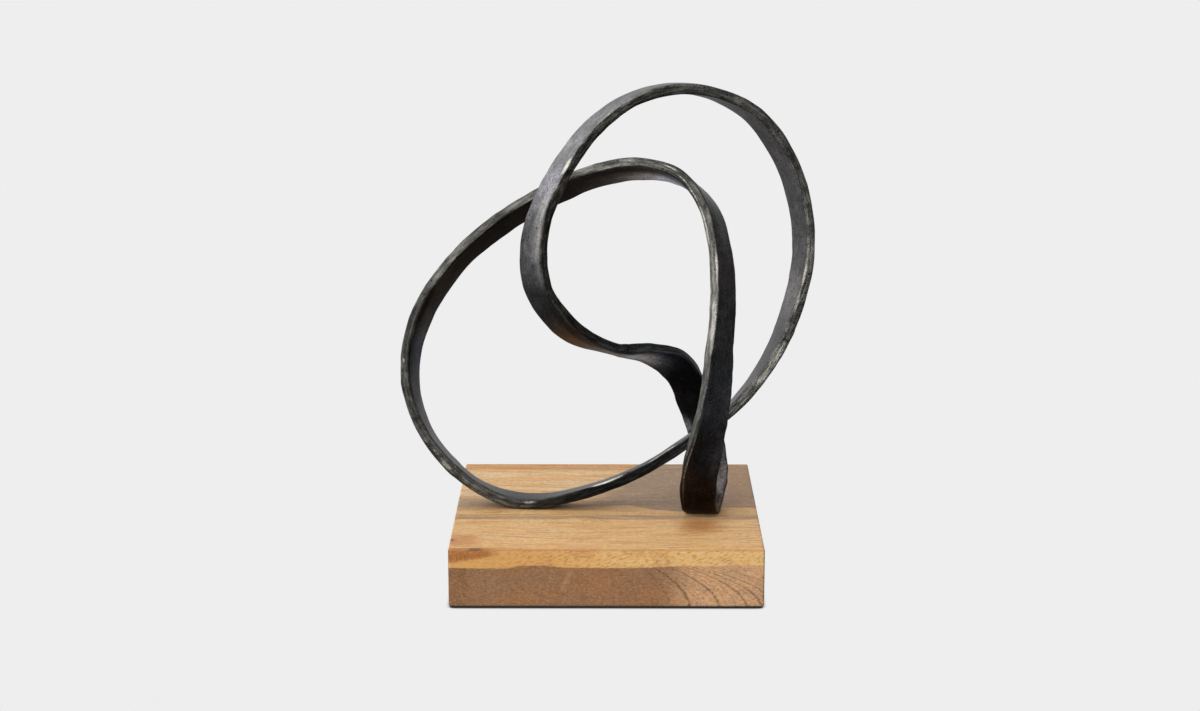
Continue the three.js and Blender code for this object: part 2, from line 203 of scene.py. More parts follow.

# Darker, dull stretches and cleaner, brighter ones of each side: partly burnt or clean skin, partly
# painted shade and painted reflections, as (place along the route, where over the side, half its
# length, half its width, how many times the colour is doubled), likewise
TONES = {
    FIRST_FACE: (
        (2.3, 0, 20, 20, 0.3),
        (3.5, 2, 24, 9, 1.5),
        (4.2, -7.5, 14, 3, -1.8),
        (6.1, 0, 60, 20, -2.6),
        (8.8, -6, 35, 3, -1.5),
        (9.6, 5, 35, 7.5, 3),
        (19.8, 3, 12, 8, 0.8),
        (22.6, -9.5, 8, 3, 2.5),
        (23.5, 0, 27, 20, -3.5),
        (25.1, 0, 19, 7.5, 2.9),
        (26.8, 0, 20, 20, -0.9),
        (27, 7, 22, 3, -1.5),
        (27.7, 0, 16, 20, -1),
        (29.1, 5, 26, 5.5, 0.8),
        (31, 0, 60, 20, 1.15),
    ),
    SECOND_FACE: (
        (11.1, -6, 14, 4, -0.8),
        (12.2, 2, 22, 20, 0.6),
        (14.2, 0, 30, 20, 0.3),
        (17.5, 0, 40, 20, -3),
        (34.3, 0, 30, 20, 0.4),
        (36.4, 0, 35, 20, -0.6),
        (38.9, 0, 35, 20, -0.8),
        (41.7, 4.5, 30, 4.5, -1.6),
        (42, -2, 30, 0.6, -2.5),
        (44.2, 0, 50, 20, -1),
    ),
    PLUS_EDGE: (
        (19.2, 0, 12, 10, -0.8),
        (26.2, 0, 50, 10, -2),
        (29.8, 0, 12, 10, 1),
        (32.6, 0, 35, 10, -0.8),
        (37, 0, 45, 10, 1.7),
        (39.2, 0, 25, 10, 0.9),
        (42.4, 0, 60, 10, -3),
    ),
    MINUS_EDGE: (
        (4, 0, 30, 10, -1),
        (5.9, 0, 25, 10, -0.7),
        (8.4, 0, 22, 10, 1.4),
        (10, 0, 10, 10, -0.8),
        (12.9, 0, 45, 10, 1.2),
        (15.8, 0, 20, 10, -0.5),
    ),
}

# Stretches where the skin is bluer (under zero) or rustier (over zero), in the same form: partly its
# own heat colours, partly the tint of the painted reflections among the tones above
HUES = {
    FIRST_FACE: (
        (3.5, 2, 40, 20, -0.5),
        (8, 0, 30, 20, -0.5),
        (9.6, 0, 35, 20, -0.4),
        (20.3, 0, 25, 20, 0.25),
        (25, 0, 24, 20, -1.1),
        (26.9, 0, 20, 20, 0.9),
        (29.5, 0, 50, 20, -0.15),
    ),
    SECOND_FACE: (
        (15, 0, 30, 20, -0.3),
        (18, 0, 30, 20, 0.8),
        (36.5, 0, 60, 20, 0.12),
        (41.6, 0, 50, 20, -0.3),
    ),
    PLUS_EDGE: (
        (25.2, 0, 50, 10, -0.3),
        (42, 0, 50, 10, -0.3),
    ),
}

# The panels of soft light, as the way to each, its strength, the cosine of the angle from there at
# which it ends and the one at which it is full, and whether it goes on under the horizon
LIGHT_PANELS = (
    ((-0.97, 0.02, 0.26), 1.35, 0.35, 0.95, True),  # large one on the left
    ((-0.42, -0.42, 0.8), 1.15, 0.55, 0.95, False),  # high one over the viewer's left shoulder
    ((-0.1, -0.9, 0.4), 1.2, 0.45, 0.95, False),  # fill behind the viewer
    ((-0.1, 0.8, 0.45), 0.42, 0.3, 0.9, False),  # above and behind
    ((-0.05, 1, -0.1), 0.2, 0.5, 0.95, True),  # the far wall
    ((0.85, -0.45, 0.15), 0.16, 0.5, 0.95, False),  # weak one on the right
    ((-0.35, 0.5, -0.8), 0.15, 0.3, 0.9, True),  # what the floor behind gives back
)


# Sizes and colours that a user would change

def length_setting(name, description, default, least=0):
    """A length with its least value."""
    return FloatProperty(name=name, description=description, default=default, min=least,
                         unit="LENGTH")


def colour_setting(name, description, *default):
    """A colour, as its red, green and blue."""
    return FloatVectorProperty(name=name, description=description, default=default,
                               subtype="COLOR", min=0, max=1)


def angle_setting(name, description, default):
    """An angle."""
    return FloatProperty(name=name, description=description, default=default, subtype="ANGLE",
                         unit="ROTATION")


class BarSizes(PropertyGroup):
    """Sizes of the bar and of its hammer marks."""

    width: length_setting("Width", "Across the bar's wide face", 0.02, 0.01)
    thickness: length_setting("Thickness", "Between the two wide faces", 0.0068, 0.003)
    corner: length_setting("Corner", "Radius along the bar's four edges", 0.0013, 0.0003)
    crown: length_setting("Crown", "How much thinner the bar is at its narrow faces", 0.0003)
    ring_step: length_setting("Ring step", "Between two sections of the bar", 0.00068, 0.0003)
    edge_dent: length_setting("Edge dent", "Depth of a blow on a narrow face", 0.0007)
    face_dent: length_setting("Face dent", "Depth of a blow on a wide face", 0.00024)
    scale_pits: length_setting("Scale pits", "Depth of the rough forge scale", 0.00012)


class IronColours(PropertyGroup):
    """Colours of the blackened and rubbed iron."""

    black: colour_setting("Black", "Blackened wide faces", 0.072, 0.075, 0.08)
    violet: colour_setting("Violet grey", "Cloudy patches in the black", 0.15, 0.141, 0.154)
    brown: colour_setting("Brown", "Heat brown patches in the black", 0.085, 0.067, 0.056)
    scale: colour_setting("Scale", "Olive scale on the narrow faces", 0.062, 0.061, 0.055)
    rubbed: colour_setting("Rubbed", "Bare metal where it was rubbed", 0.62, 0.6, 0.53)


class WoodColours(PropertyGroup):
    """Colours of the oiled wood."""

    sapwood: colour_setting("Sapwood", "Pale wood of the top", 0.68, 0.42, 0.188)
    pale: colour_setting("Pale", "Palest wood, at the back of the top", 0.71, 0.54, 0.35)
    gold: colour_setting("Gold", "Yellow band along the front", 0.72, 0.37, 0.105)
    pink: colour_setting("Pink", "Warm patch at the left end of the top", 0.52, 0.235, 0.088)
    straw: colour_setting("Straw", "Bright right end of the front band", 0.81, 0.485, 0.175)
    orange: colour_setting("Orange", "Orange end of the front band", 0.42, 0.145, 0.026)
    heartwood: colour_setting("Heartwood", "Brown wood of the lower front", 0.342, 0.162, 0.071)
    light_heart: colour_setting("Light heartwood", "Its right end", 0.71, 0.405, 0.208)
    grey: colour_setting("Grey brown", "Dull heartwood on the top", 0.25, 0.175, 0.12)
    line: colour_setting("Ring line", "Thin dark growth rings and pores", 0.11, 0.055, 0.026)


class FixingColours(PropertyGroup):
    """Colours of what is under the block."""

    zinc: colour_setting("Zinc", "Plated screws and washers", 0.55, 0.56, 0.58)
    felt: colour_setting("Felt", "Felt pads", 0.022, 0.018, 0.016)


class StudioSettings(PropertyGroup):
    """The floor, the light and the camera."""

    floor: colour_setting("Floor", "Pale floor as the camera sees it", 0.855, 0.855, 0.855)
    lens: FloatProperty(name="Lens", description="Focal length in millimetres", default=72.84,
                        min=10)
    camera_at: FloatVectorProperty(name="Camera", description="Where the camera stands",
                                   default=(0.001833, -1.56247, 0.50483), subtype="TRANSLATION",
                                   unit="LENGTH")
    camera_down: angle_setting("Down", "How far the camera looks down", 0.2285194)
    camera_left: angle_setting("Left", "How far the camera looks left", 0.004019)


# Numpy tools

def lattice_noise(points, cell, seed):
    """Smooth noise from -1 to 1 at points in space.

    Every corner of a cubic lattice with this cell size has a random value. A point takes the
    values of its eight corners, weighted along each axis by 3t^2 - 2t^3.
    """
    scaled = points / cell
    base = np.floor(scaled).astype(np.int64)
    part = scaled - base
    weight = part * part * (3 - 2 * part)
    total = np.zeros(points.shape[:-1])
    for corner in np.ndindex(2, 2, 2):
        x, y, z = np.moveaxis(base + np.array(corner), -1, 0)
        mixed = (x * 73856093) ^ (y * 19349663) ^ (z * 83492791) ^ (seed * 2654435761)
        mixed = ((mixed ^ (mixed >> 13)) * 1274126177) & 0xFFFFFFFF
        value = ((mixed ^ (mixed >> 16)) & 0xFFFF) / 32767.5 - 1
        total += value * np.prod(np.where(corner, weight, 1 - weight), axis=-1)
    return total


def unit(vectors):
    """Vectors divided by their lengths."""
    return vectors / np.linalg.norm(vectors, axis=-1, keepdims=True)


def grid_faces(rows, columns, closed_rows=False):
    """Quads of a grid whose columns close into a ring, and whose rows do too if asked.

    Quad (i, j) joins points (i, j), (i + 1, j), (i + 1, j + 1) and (i, j + 1), counted modulo
    the number of rows and columns.
    """
    i, j = np.meshgrid(np.arange(rows if closed_rows else rows - 1), np.arange(columns),
                       indexing="ij")
    below, right = (i + 1) % rows, (j + 1) % columns
    quads = np.stack([i * columns + j, below * columns + j, below * columns + right,
                      i * columns + right], axis=-1)
    return quads.reshape(-1, 4)


def new_object(name, data):
    """An object in the scene, at the origin."""
    thing = bpy.data.objects.new(name, data)
    bpy.context.scene.collection.objects.link(thing)
    return thing


def make_piece(name, points, faces, material, node):
    """A smooth mesh object at the origin that rides on the body and stands for a CAD node."""
    mesh = bpy.data.meshes.new(name)
    mesh.from_pydata(points.reshape(-1, 3).tolist(), [], faces)
    mesh.polygons.foreach_set("use_smooth", [True] * len(mesh.polygons))
    mesh.materials.append(material)
    mesh.update()
    piece = new_object(name, mesh)
    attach(piece, BODY)
    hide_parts(node)
    return piece


def paint(piece, name, values):
    """A number or a vector at each vertex, for the material to read."""
    kind, field = ("FLOAT_VECTOR", "vector") if values.ndim == 3 else ("FLOAT", "value")
    attribute = piece.data.attributes.new(name, kind, "POINT")
    attribute.data.foreach_set(field, values.astype(np.float32).ravel())


# The bar

def station(rows):
    """Middle, face and spread of the bar at whole rows, which may run past the end of a lap.

    Each lap turns the faces over once.
    """
    table = np.array(ROUTE)[rows % LAP]
    seat_centre = BLOCK_TOP + bpy.context.scene.bar_sizes.thickness / 2 - SEAT_FLAT
    middle = np.stack([table[:, 0], table[:, 2] * LAY, seat_centre + table[:, 1]], axis=-1)
    turned = np.where(rows // LAP % 2 == 0, 1, -1)
    return np.concatenate([middle, table[:, 3:6] * turned[:, None], table[:, 6:]], axis=-1)


def place(where):
    """Middle, face and spread of the bar at places along the route.

    A cubic between two rows, whose slope at a row comes from that row and its two neighbours,
    with the square roots of the distances between the rows as steps.
    """
    row = np.floor(where).astype(int)
    t = (where - row)[:, None]
    a, b, c, d = (station(row + k) for k in (-1, 0, 1, 2))
    s0, s1, s2 = (np.sqrt(np.linalg.norm(q[:, :3] - p[:, :3], axis=1))[:, None]
                  for p, q in ((a, b), (b, c), (c, d)))
    leave = ((b - a) / s0 - (c - a) / (s0 + s1) + (c - b) / s1) * s1
    arrive = ((c - b) / s1 - (d - b) / (s1 + s2) + (d - c) / s2) * s1
    t2, t3 = t * t, t * t * t
    start = (2 * t3 - 3 * t2 + 1) * b + (t3 - 2 * t2 + t) * leave
    return start + (3 * t2 - 2 * t3) * c + (t3 - t2) * arrive


def axes(where):
    """The bar's middle and spread, and its directions across and out of its first face."""
    near = 0.01
    here = place(where)
    along = unit(place(where + near)[:, :3] - place(where - near)[:, :3])
    face = here[:, 3:6]
    out = unit(face - np.sum(face * along, axis=1)[:, None] * along)
    return here[:, :3], here[:, 6], np.cross(along, out), out


def measure(where):
    """Real length along the route from the first of close places to each of them."""
    gaps = np.linalg.norm(np.diff(place(where)[:, :3], axis=0), axis=1)
    return np.concatenate([[0], np.cumsum(gaps)])


def even_places(start, end, step):
    """Places between two others, evenly spaced in real length, and the length up to each."""
    fine = np.linspace(start, end, 4000)
    length = measure(fine)
    even = np.linspace(0, length[-1], max(2, round(length[-1] / step)))
    return np.interp(even, length, fine), even


def lap_length(where):
    """Real length along the route from its first row to places."""
    fine = np.linspace(0, LAP + 2, 9000)
    return np.interp(where, fine, measure(fine))


def hammer(where, shift):
    """Height of the hammer waves at places, from -1 to 1: a sum of sines along the lap."""
    angle = 2 * np.pi * where / LAP
    return sum(share * np.sin(n * angle + start + shift) for n, share, start in HAMMER_WAVES)


def section(wide, narrow, arc):
    """A rounded rectangle once round, as the side (across, out) that a point belongs to and the
    angle of its normal.

    Along a corner's arc the side stays (1, 1) or the like and the angle grows by a quarter turn.
    Along a straight the angle stays, and the side runs from one corner's to the next one's.
    """
    sides, angles = [], []
    for k, straight in enumerate((wide, narrow, wide, narrow)):
        sides.append(np.repeat(CORNERS[k][None], arc, axis=0))
        angles.append((k + np.linspace(0, 1, arc)) * np.pi / 2)
        t = np.linspace(0, 1, straight + 2)[1:-1, None]
        sides.append((1 - t) * CORNERS[k] + t * CORNERS[(k + 1) % 4])
        angles.append(np.full(straight, (k + 1) * np.pi / 2))
    return np.concatenate(sides).astype(float), np.concatenate(angles)


def corner_wander(length, side):
    """How much rounder or sharper than usual the bar's corners are, from -1 to 1.

    Each corner has its own smooth noise along the bar. Between two corners it changes evenly
    from one's to the other's, by how far round the section a point is.
    """
    reach, fine_reach, fine_share, steep = 0.017, 0.006, 0.4, 1.3
    shares = np.prod((1 + side[:, None] * CORNERS) / 2, axis=-1)
    total = np.zeros((len(length), len(side)))
    for k, share in enumerate(shares.T):
        line = np.stack([length, np.full_like(length, 0.1 * k), 0 * length], axis=-1)
        wander = (lattice_noise(line, reach, 30 + k)
                  + fine_share * lattice_noise(line, fine_reach, 40 + k))
        total += np.clip(steep * wander, -1, 1)[:, None] * share
    return total


def room(points):
    """How far points lie inside the box round the three lengths of bar in the CAD."""
    corners = np.array([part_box(node) for node in BAR_NODES])
    low, high = corners[:, 0].min(axis=0), corners[:, 1].max(axis=0)
    return np.minimum(points - low, high - points).min(axis=-1)


def scale_depth(points, narrow):
    """Depth of the rough forge scale at points: noise of two sizes, shallow on the wide faces."""
    coarse, fine, fine_share = 0.0035, 0.0017, 0.6
    on_face, mean, swing = 0.25, 0.6, 0.5
    rough = lattice_noise(points, coarse, 11) + fine_share * lattice_noise(points, fine, 12)
    deepest = bpy.context.scene.bar_sizes.scale_pits
    return deepest * (on_face + (1 - on_face) * narrow) * (mean + swing * rough)


def bar_surface(start, end, swell):
    """The bar's surface between two places, as a grid of points and what the finish needs.

    A rounded rectangle is carried along the route. At each ring the point is the route's middle
    plus the corner's centre plus the corner radius along the normal, plus the ridge that is left
    between blows, less the depth of the blows and of the scale. The wide faces fall off by the
    crown times the square of the way from their middle. What would be under the block's top is
    filed off.
    """
    sizes = bpy.context.scene.bar_sizes
    where, length = even_places(start, end, sizes.ring_step)
    middle, spread, across, out = axes(where)
    side, angle = section(*POINTS_ROUND)
    half_width = (sizes.width + spread) / 2 + HAMMER_WIDTH * hammer(where, 0)
    half_thickness = sizes.thickness / 2 + HAMMER_THICKNESS * hammer(where, 2)
    radius = sizes.corner * (1 + CORNER_WANDER * corner_wander(length, side))
    x = side[:, 0] * (half_width[:, None] - radius) + radius * np.cos(angle)
    crown = sizes.crown * (x / half_width[:, None]) ** 2
    y = side[:, 1] * (half_thickness[:, None] - crown - radius) + radius * np.sin(angle)
    points = middle[:, None] + across[:, None] * x[..., None] + out[:, None] * y[..., None]
    normals = (across[:, None] * np.cos(angle)[:, None] + out[:, None] * np.sin(angle)[:, None])
    on_bar = np.stack([np.broadcast_to(length[:, None], x.shape), x, y], axis=-1)
    narrow = np.broadcast_to(np.abs(np.cos(angle)) ** 2, x.shape)
    arris = np.broadcast_to(np.abs(np.sin(2 * angle)), x.shape)
    mark, dent = marks(where, on_bar)
    depth = np.maximum(blows(where, length, points, normals), dent)
    depth = depth - np.clip(room(points), 0, RIDGE + (EDGE_RIDGE - RIDGE) * narrow)
    depth = depth + scale_depth(points, narrow) - swell(length)[:, None]
    points = points - normals * depth[..., None]
    points[..., 2] = np.maximum(points[..., 2], BLOCK_TOP)
    return points, {"narrow": narrow, "arris": arris, "mark": mark, "on_bar": on_bar,
                    "tone": stretches(TONES, where, on_bar, angle),
                    "hue": stretches(HUES, where, on_bar, angle)}


def fade(*ways):
    """exp(-d^4), where d is the length of a way that is given by its parts."""
    d2 = sum(way ** 2 for way in ways)
    return np.exp(-d2 * d2)


def marks(where, on_bar):
    """Brightness and depth that the single marks give to points, whose place along, across and out
    is given. A mark fades out with the distance in its half length and half width.
    """
    bright, depth = np.zeros(on_bar.shape[:2]), np.zeros(on_bar.shape[:2])
    along = lap_length(where)[:, None] / MM
    x, y = on_bar[..., 1] / MM, on_bar[..., 2] / MM
    starts = lap_length(np.array([mark[0] for mark in MARKS])) / MM
    for start, (_, across, out, long, wide, brightness, deep) in zip(starts, MARKS):
        bump = fade((along - start) / long, (x - across) / wide, (y - out) / wide)
        bright += brightness * bump
        depth += deep * MM * bump
    return bright, depth


def stretches(table, where, on_bar, angle):
    """Sum at points of the stretches that a table lists for the four sides.

    A stretch counts with the square of the cosine between a point's normal and its side's, and
    fades out along the bar and over the side.
    """
    total = np.zeros(on_bar.shape[:2])
    along = lap_length(where)[:, None] / MM
    for side, rows in table.items():
        share = np.clip(np.cos(angle - side * np.pi / 2), 0, 1) ** 2
        over = on_bar[..., 1 if side in (FIRST_FACE, SECOND_FACE) else 2] / MM
        starts = lap_length(np.array([row[0] for row in rows])) / MM
        for start, (_, middle, long, wide, amount) in zip(starts, rows):
            total += amount * share * fade((along - start) / long, (over - middle) / wide)
    return total


def blows(where, length, points, normals):
    """Depth of the hammer blows at the points of the bar's surface.

    A blow is a shallow bowl, its depth times 1 - (distance / radius)^2 where that is above zero,
    and only on the side that it was struck on. Where bowls overlap the deeper one counts, so
    there are ridges between them. A side's row holds how far apart its blows are, their usual
    radius and depth, and how many files of them lie side by side.
    """
    sizes = bpy.context.scene.bar_sizes
    edge, face = (0.0075, 0.0085, sizes.edge_dent, 1), (0.0095, 0.012, sizes.face_dent, 2)
    random = np.random.default_rng(int(where[0] * 10) + 7)
    depth = np.zeros(points.shape[:2])
    angles = section(*POINTS_ROUND)[1]
    for side, (spacing, reach, deep, files) in enumerate((edge, face, edge, face)):
        on_side = np.flatnonzero(np.isclose(np.cos(angles - side * np.pi / 2), 1))
        count = int(length[-1] / spacing * files)
        for k in range(count):
            ring = int(np.searchsorted(length, (k + random.random()) / count * length[-1]))
            ring = min(ring, len(length) - 1)
            column = int(random.choice(on_side))
            radius = reach * random.uniform(0.6, 1.25)
            strength = deep * random.uniform(0.35, 1)
            rings = int(radius / sizes.ring_step) + 1
            near = slice(max(0, ring - rings), ring + rings + 1)
            away = points[near] - points[ring, column]
            bowl = 1 - np.sum(away * away, axis=-1) / radius ** 2
            facing = np.clip(normals[near] @ normals[ring, column], 0, 1)
            depth[near] = np.maximum(depth[near], strength * np.clip(bowl, 0, 1) * facing)
    return depth


def level(length):
    """No swelling at all."""
    return 0 * length


def make_bar(name, start, end, material, node, swell=level):
    """A closed length of bar between two places on the route."""
    points, finish = bar_surface(start, end, swell)
    rings, around = points.shape[:2]
    faces = grid_faces(rings, around).tolist()
    faces.append(list(range(around)))
    faces.append(list(range(rings * around - 1, (rings - 1) * around - 1, -1)))
    piece = make_piece(name, points, faces, material, node)
    for key, values in finish.items():
        paint(piece, key, values)


# The wood block and what is under it

def block_surface():
    """The block's surface: a box with round edges, as loose grids, one for each of its six faces.

    A point of a plain box is pulled to the nearest point of an inner box, which is smaller by the
    radius on every side, plus the radius in the direction from there to the point. A slow wave
    hollows the faces a little, as a hand plane leaves them.
    """
    step, radius, hollow = 0.0016, 0.0012, 0.00008
    wave, drawn_out = 0.018, [0.35, 1, 1]
    low, high = np.array(BLOCK_LOW), np.array(BLOCK_HIGH)
    points, faces, count = [], [], 0
    for axis in range(3):
        u, v = (axis + 1) % 3, (axis + 2) % 3
        lines = []
        for way in (u, v):
            round_part = radius * (1 - np.cos(np.linspace(0, np.pi / 2, 6)))[:-1]
            flat = high[way] - low[way] - 2 * radius
            inside = np.linspace(low[way] + radius, high[way] - radius, round(flat / step))
            lines.append(np.concatenate([low[way] + round_part, inside,
                                         (high[way] - round_part)[::-1]]))
        for end in (low, high):
            grid = np.zeros((len(lines[0]), len(lines[1]), 3))
            grid[..., u], grid[..., v] = np.meshgrid(*lines, indexing="ij")
            grid[..., axis] = end[axis]
            rows, columns = grid.shape[:2]
            quads = grid_faces(rows, columns).reshape(rows - 1, columns, 4)[:, :-1].reshape(-1, 4)
            faces.append(count + (quads if end is high else quads[:, ::-1]))
            points.append(grid.reshape(-1, 3))
            count += rows * columns
    points = np.concatenate(points)
    inner = np.clip(points, low + radius, high - radius)
    normals = unit(points - inner)
    plane = 0.5 + 0.5 * lattice_noise(points * drawn_out, wave, 21)
    return inner + normals * (radius - hollow * plane[:, None]), np.concatenate(faces)


def underside(node):
    """The middle of the underside of a CAD node's box."""
    low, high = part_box(node)
    return np.array([(low.x + high.x) / 2, (low.y + high.y) / 2, low.z])


def screw_wells():
    """A closed cutter for the two stepped holes, each as wide as the CAD block's."""
    well, shank, past, around = 0.008, 0.003, 0.01, 48
    cutters = []
    for side in SEAT_ROWS:
        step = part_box(f"washer_{side}")[1].z
        heights = np.array([-past, -past, step, step, BLOCK_TOP + past, BLOCK_TOP + past])
        radii = np.array([0, well, well, shank, shank, 0])
        points, faces = revolve(radii[:, None] * np.ones(around), heights)
        cutters.append((points + underside(f"washer_{side}") * [1, 1, 0], faces))
    return cutters


def revolve(radii, heights):
    """A closed surface round an upright axis, from a pole to a pole.

    Its point at angle a and step i of the profile is (r cos a, r sin a, h), where the radius r
    may change with the angle. The first and the last step are single points on the axis.
    """
    steps, around = radii.shape
    angle = np.linspace(0, 2 * np.pi, around, endpoint=False)
    heights = np.broadcast_to(np.reshape(heights, (steps, -1)), radii.shape)
    grid = np.stack([radii * np.cos(angle), radii * np.sin(angle), heights], axis=-1)
    inside = grid[1:-1].reshape(-1, 3)
    poles = grid[[0, -1], 0] * [0, 0, 1]
    faces = grid_faces(steps - 2, around)[:, ::-1].tolist()
    first, last = len(inside), len(inside) + 1
    ring = np.arange(around)
    following = (ring + 1) % around
    top = (steps - 3) * around
    faces += np.stack([following, ring, np.full(around, first)], axis=1).tolist()
    faces += np.stack([top + ring, top + following, np.full(around, last)], axis=1).tolist()
    return np.concatenate([inside, poles]), faces


def screw_profile():
    """A cap screw: hexagon socket, knurled head and a threaded shank, point up.

    The socket's wall is a hexagon, r = a / cos of the angle from the middle of its side. The
    knurl is a row of round flutes. The thread is a saw-like wave that climbs one pitch a turn.
    """
    around = 96
    angle = np.linspace(0, 2 * np.pi, around, endpoint=False)
    flats, socket, head, head_high, shank, long = 0.002, 0.0026, 0.00425, 0.005, 0.0025, 0.025
    chamfer, pitch, thread, run_in = 0.0006, 0.0008, 0.00028, 0.004
    lip, worn, fillet, flute_deep, flutes = 0.0002, 0.0003, 0.0004, 0.00012, 36
    hexagon = flats / np.cos((angle + np.pi / 6) % (np.pi / 3) - np.pi / 6)
    flute = flute_deep * np.abs(np.sin(flutes / 2 * angle))
    plain = np.ones(around)
    rows = [(0 * plain, socket - head_high), (hexagon, socket - head_high),
            (hexagon, lip - head_high), (hexagon + lip, -head_high),
            ((head - chamfer) * plain, -head_high), (head * plain - flute, chamfer - head_high),
            (head * plain - flute, -chamfer), ((head - worn) * plain, -lip),
            ((head - fillet) * plain, 0), (shank * plain, 0)]
    for height in np.arange(fillet, long - chamfer, pitch / 8):
        wave = (height / pitch - angle / (2 * np.pi)) % 1
        rows.append((shank - thread * np.abs(2 * wave - 1) * min(1, height / run_in), height))
    rows += [((shank - chamfer) * plain, long), (0 * plain, long)]
    return np.array([r for r, _ in rows]), np.array([h for _, h in rows])


def washer_surface():
    """A flat ring with rounded edges, its underside at height zero.

    A rounded rectangle is carried round the axis, closed both ways.
    """
    inner, outer, thick, edge = 0.0028, 0.007, 0.0012, 0.00025
    side, angle = section(6, 2, 4)
    around = 96
    turn = np.linspace(0, 2 * np.pi, around, endpoint=False)
    radius = (inner + outer) / 2 + side[:, 0] * ((outer - inner) / 2 - edge) + edge * np.cos(angle)
    height = thick / 2 + side[:, 1] * (thick / 2 - edge) + edge * np.sin(angle)
    grid = np.stack([np.outer(np.cos(turn), radius), np.outer(np.sin(turn), radius),
                     np.broadcast_to(height, (around, len(height)))], axis=-1)
    return grid, grid_faces(around, len(height), closed_rows=True).tolist()


def pad_surface(seed):
    """A felt disc with soft edges, its underside at height zero.

    The profile is a rounded rectangle from the axis out and back, and a fine noise roughens the
    rim.
    """
    rim, thick, edge, around = 0.011, 0.0012, 0.0004, 128
    fibre, fray, towards_rim = 0.0007, 0.02, 8
    bend = np.linspace(0, np.pi / 2, 5)
    flat = np.linspace(0, rim - edge, 14)[:-1]
    radii = np.concatenate([flat, rim - edge + edge * np.sin(bend),
                            rim - edge + edge * np.cos(bend), flat[::-1]])
    heights = np.concatenate([0 * flat, edge - edge * np.cos(bend),
                              thick - edge + edge * np.sin(bend), thick + 0 * flat])
    points, faces = revolve(radii[:, None] * np.ones(around), heights)
    fuzz = 0.5 + 0.5 * lattice_noise(points, fibre, seed)
    reach = np.hypot(points[:, 0], points[:, 1]) / rim
    points[:, :2] *= (1 - fray * fuzz * reach ** towards_rim)[:, None]
    return points, faces


# Materials

class Wire:
    """A value in a node tree, with which sums are written as usual."""

    def __init__(self, graph, socket):
        self.graph = graph
        self.socket = socket

    def __add__(self, other):
        return self.graph.math("ADD", self, other)

    def __sub__(self, other):
        return self.graph.math("SUBTRACT", self, other)

    def __rsub__(self, other):
        return self.graph.math("SUBTRACT", other, self)

    def __mul__(self, other):
        return self.graph.math("MULTIPLY", self, other)

    def __truediv__(self, other):
        return self.graph.math("DIVIDE", self, other)

    def __rtruediv__(self, other):
        return self.graph.math("DIVIDE", other, self)

    def lay(self, colour, amount, *masks):
        """Lays a colour over this one where all masks are one."""
        self.socket = self.graph.mix(self.graph.both(*masks, amount), self, colour).socket


class Graph:
    """Writes nodes into a tree, one call for each."""

    def __init__(self, tree):
        self.tree = tree

    def plug(self, socket, value):
        """Links a wire to a socket, or sets a plain value on it."""
        if isinstance(value, Wire):
            self.tree.links.new(value.socket, socket)
        else:
            socket.default_value = value

    def add(self, kind, inputs=(), **settings):
        """A node with its settings, and its inputs by name or number, as values or wires."""
        node = self.tree.nodes.new(kind)
        for key, value in settings.items():
            setattr(node, key, value)
        for key, value in dict(inputs).items():
            self.plug(node.inputs[key], value)
        return node

    def read(self, kind, output, inputs=(), **settings):
        """An output of a new node, by name or number."""
        return Wire(self, self.add(kind, inputs, **settings).outputs[output])

    def place(self):
        """A point's own place on its piece."""
        return self.read("ShaderNodeTexCoord", "Object")

    def attribute(self, name, output="Fac"):
        """What was painted on the piece under a name."""
        return self.read("ShaderNodeAttribute", output, attribute_name=name)

    def math(self, operation, a, b=0.0):
        """The outcome of a sum of one or two numbers."""
        return self.read("ShaderNodeMath", 0, {0: a, 1: b}, operation=operation)

    def vector(self, operation, a, b, output=0):
        """The same for vectors, part by part or as a number."""
        return self.read("ShaderNodeVectorMath", output, {0: a, 1: b}, operation=operation)

    def noise(self, at, scale, detail, roughness=0.5):
        """Cloudy noise from nought to one."""
        return self.read("ShaderNodeTexNoise", "Fac", {"Vector": at, "Scale": scale,
                                                       "Detail": detail, "Roughness": roughness})

    def span(self, value, low, high, to_low=0.0, to_high=1.0):
        """The value's way from low to high, as a smooth step between two others."""
        return self.read("ShaderNodeMapRange", "Result",
                         {"Value": value, "From Min": low, "From Max": high, "To Min": to_low,
                          "To Max": to_high}, interpolation_type="SMOOTHSTEP")

    def mix(self, factor, a, b):
        """A colour between two others."""
        node = self.add("ShaderNodeMix", {0: factor}, data_type="RGBA")
        for socket, value in ((node.inputs[6], a), (node.inputs[7], b)):
            self.plug(socket, value if isinstance(value, Wire) else (*value, 1))
        return Wire(self, node.outputs[2])

    def both(self, *masks):
        """The product of masks."""
        total = masks[0]
        for mask in masks[1:]:
            total = total * mask
        return total

    def within(self, value, low, high, soft):
        """One from low to high, with soft rims."""
        return self.span(value, low - soft, low + soft) * self.span(value, high + soft, high - soft)

    def curve(self, value, points):
        """The value's image on a line through points, given as pairs in rising order."""
        (start, end), (low, high) = ((min(p), max(p)) for p in zip(*points))
        share = self.read("ShaderNodeMapRange", 0, {"Value": value, "From Min": start,
                                                    "From Max": end})
        node = self.add("ShaderNodeFloatCurve", {"Value": share})
        line = node.mapping.curves[0].points
        for where, _ in points[1:-1]:
            line.new((where - start) / (end - start), 0)
        for point, (where, height) in zip(line, points):
            point.location = ((where - start) / (end - start), (height - low) / (high - low))
        node.mapping.update()
        return self.read("ShaderNodeMapRange", 0, {"Value": Wire(self, node.outputs[0]),
                                                   "To Min": low, "To Max": high})

    def use(self, group, **inputs):
        """The mask that one of the node groups puts out."""
        return self.read("ShaderNodeGroup", "Mask", inputs, node_tree=bpy.data.node_groups[group])


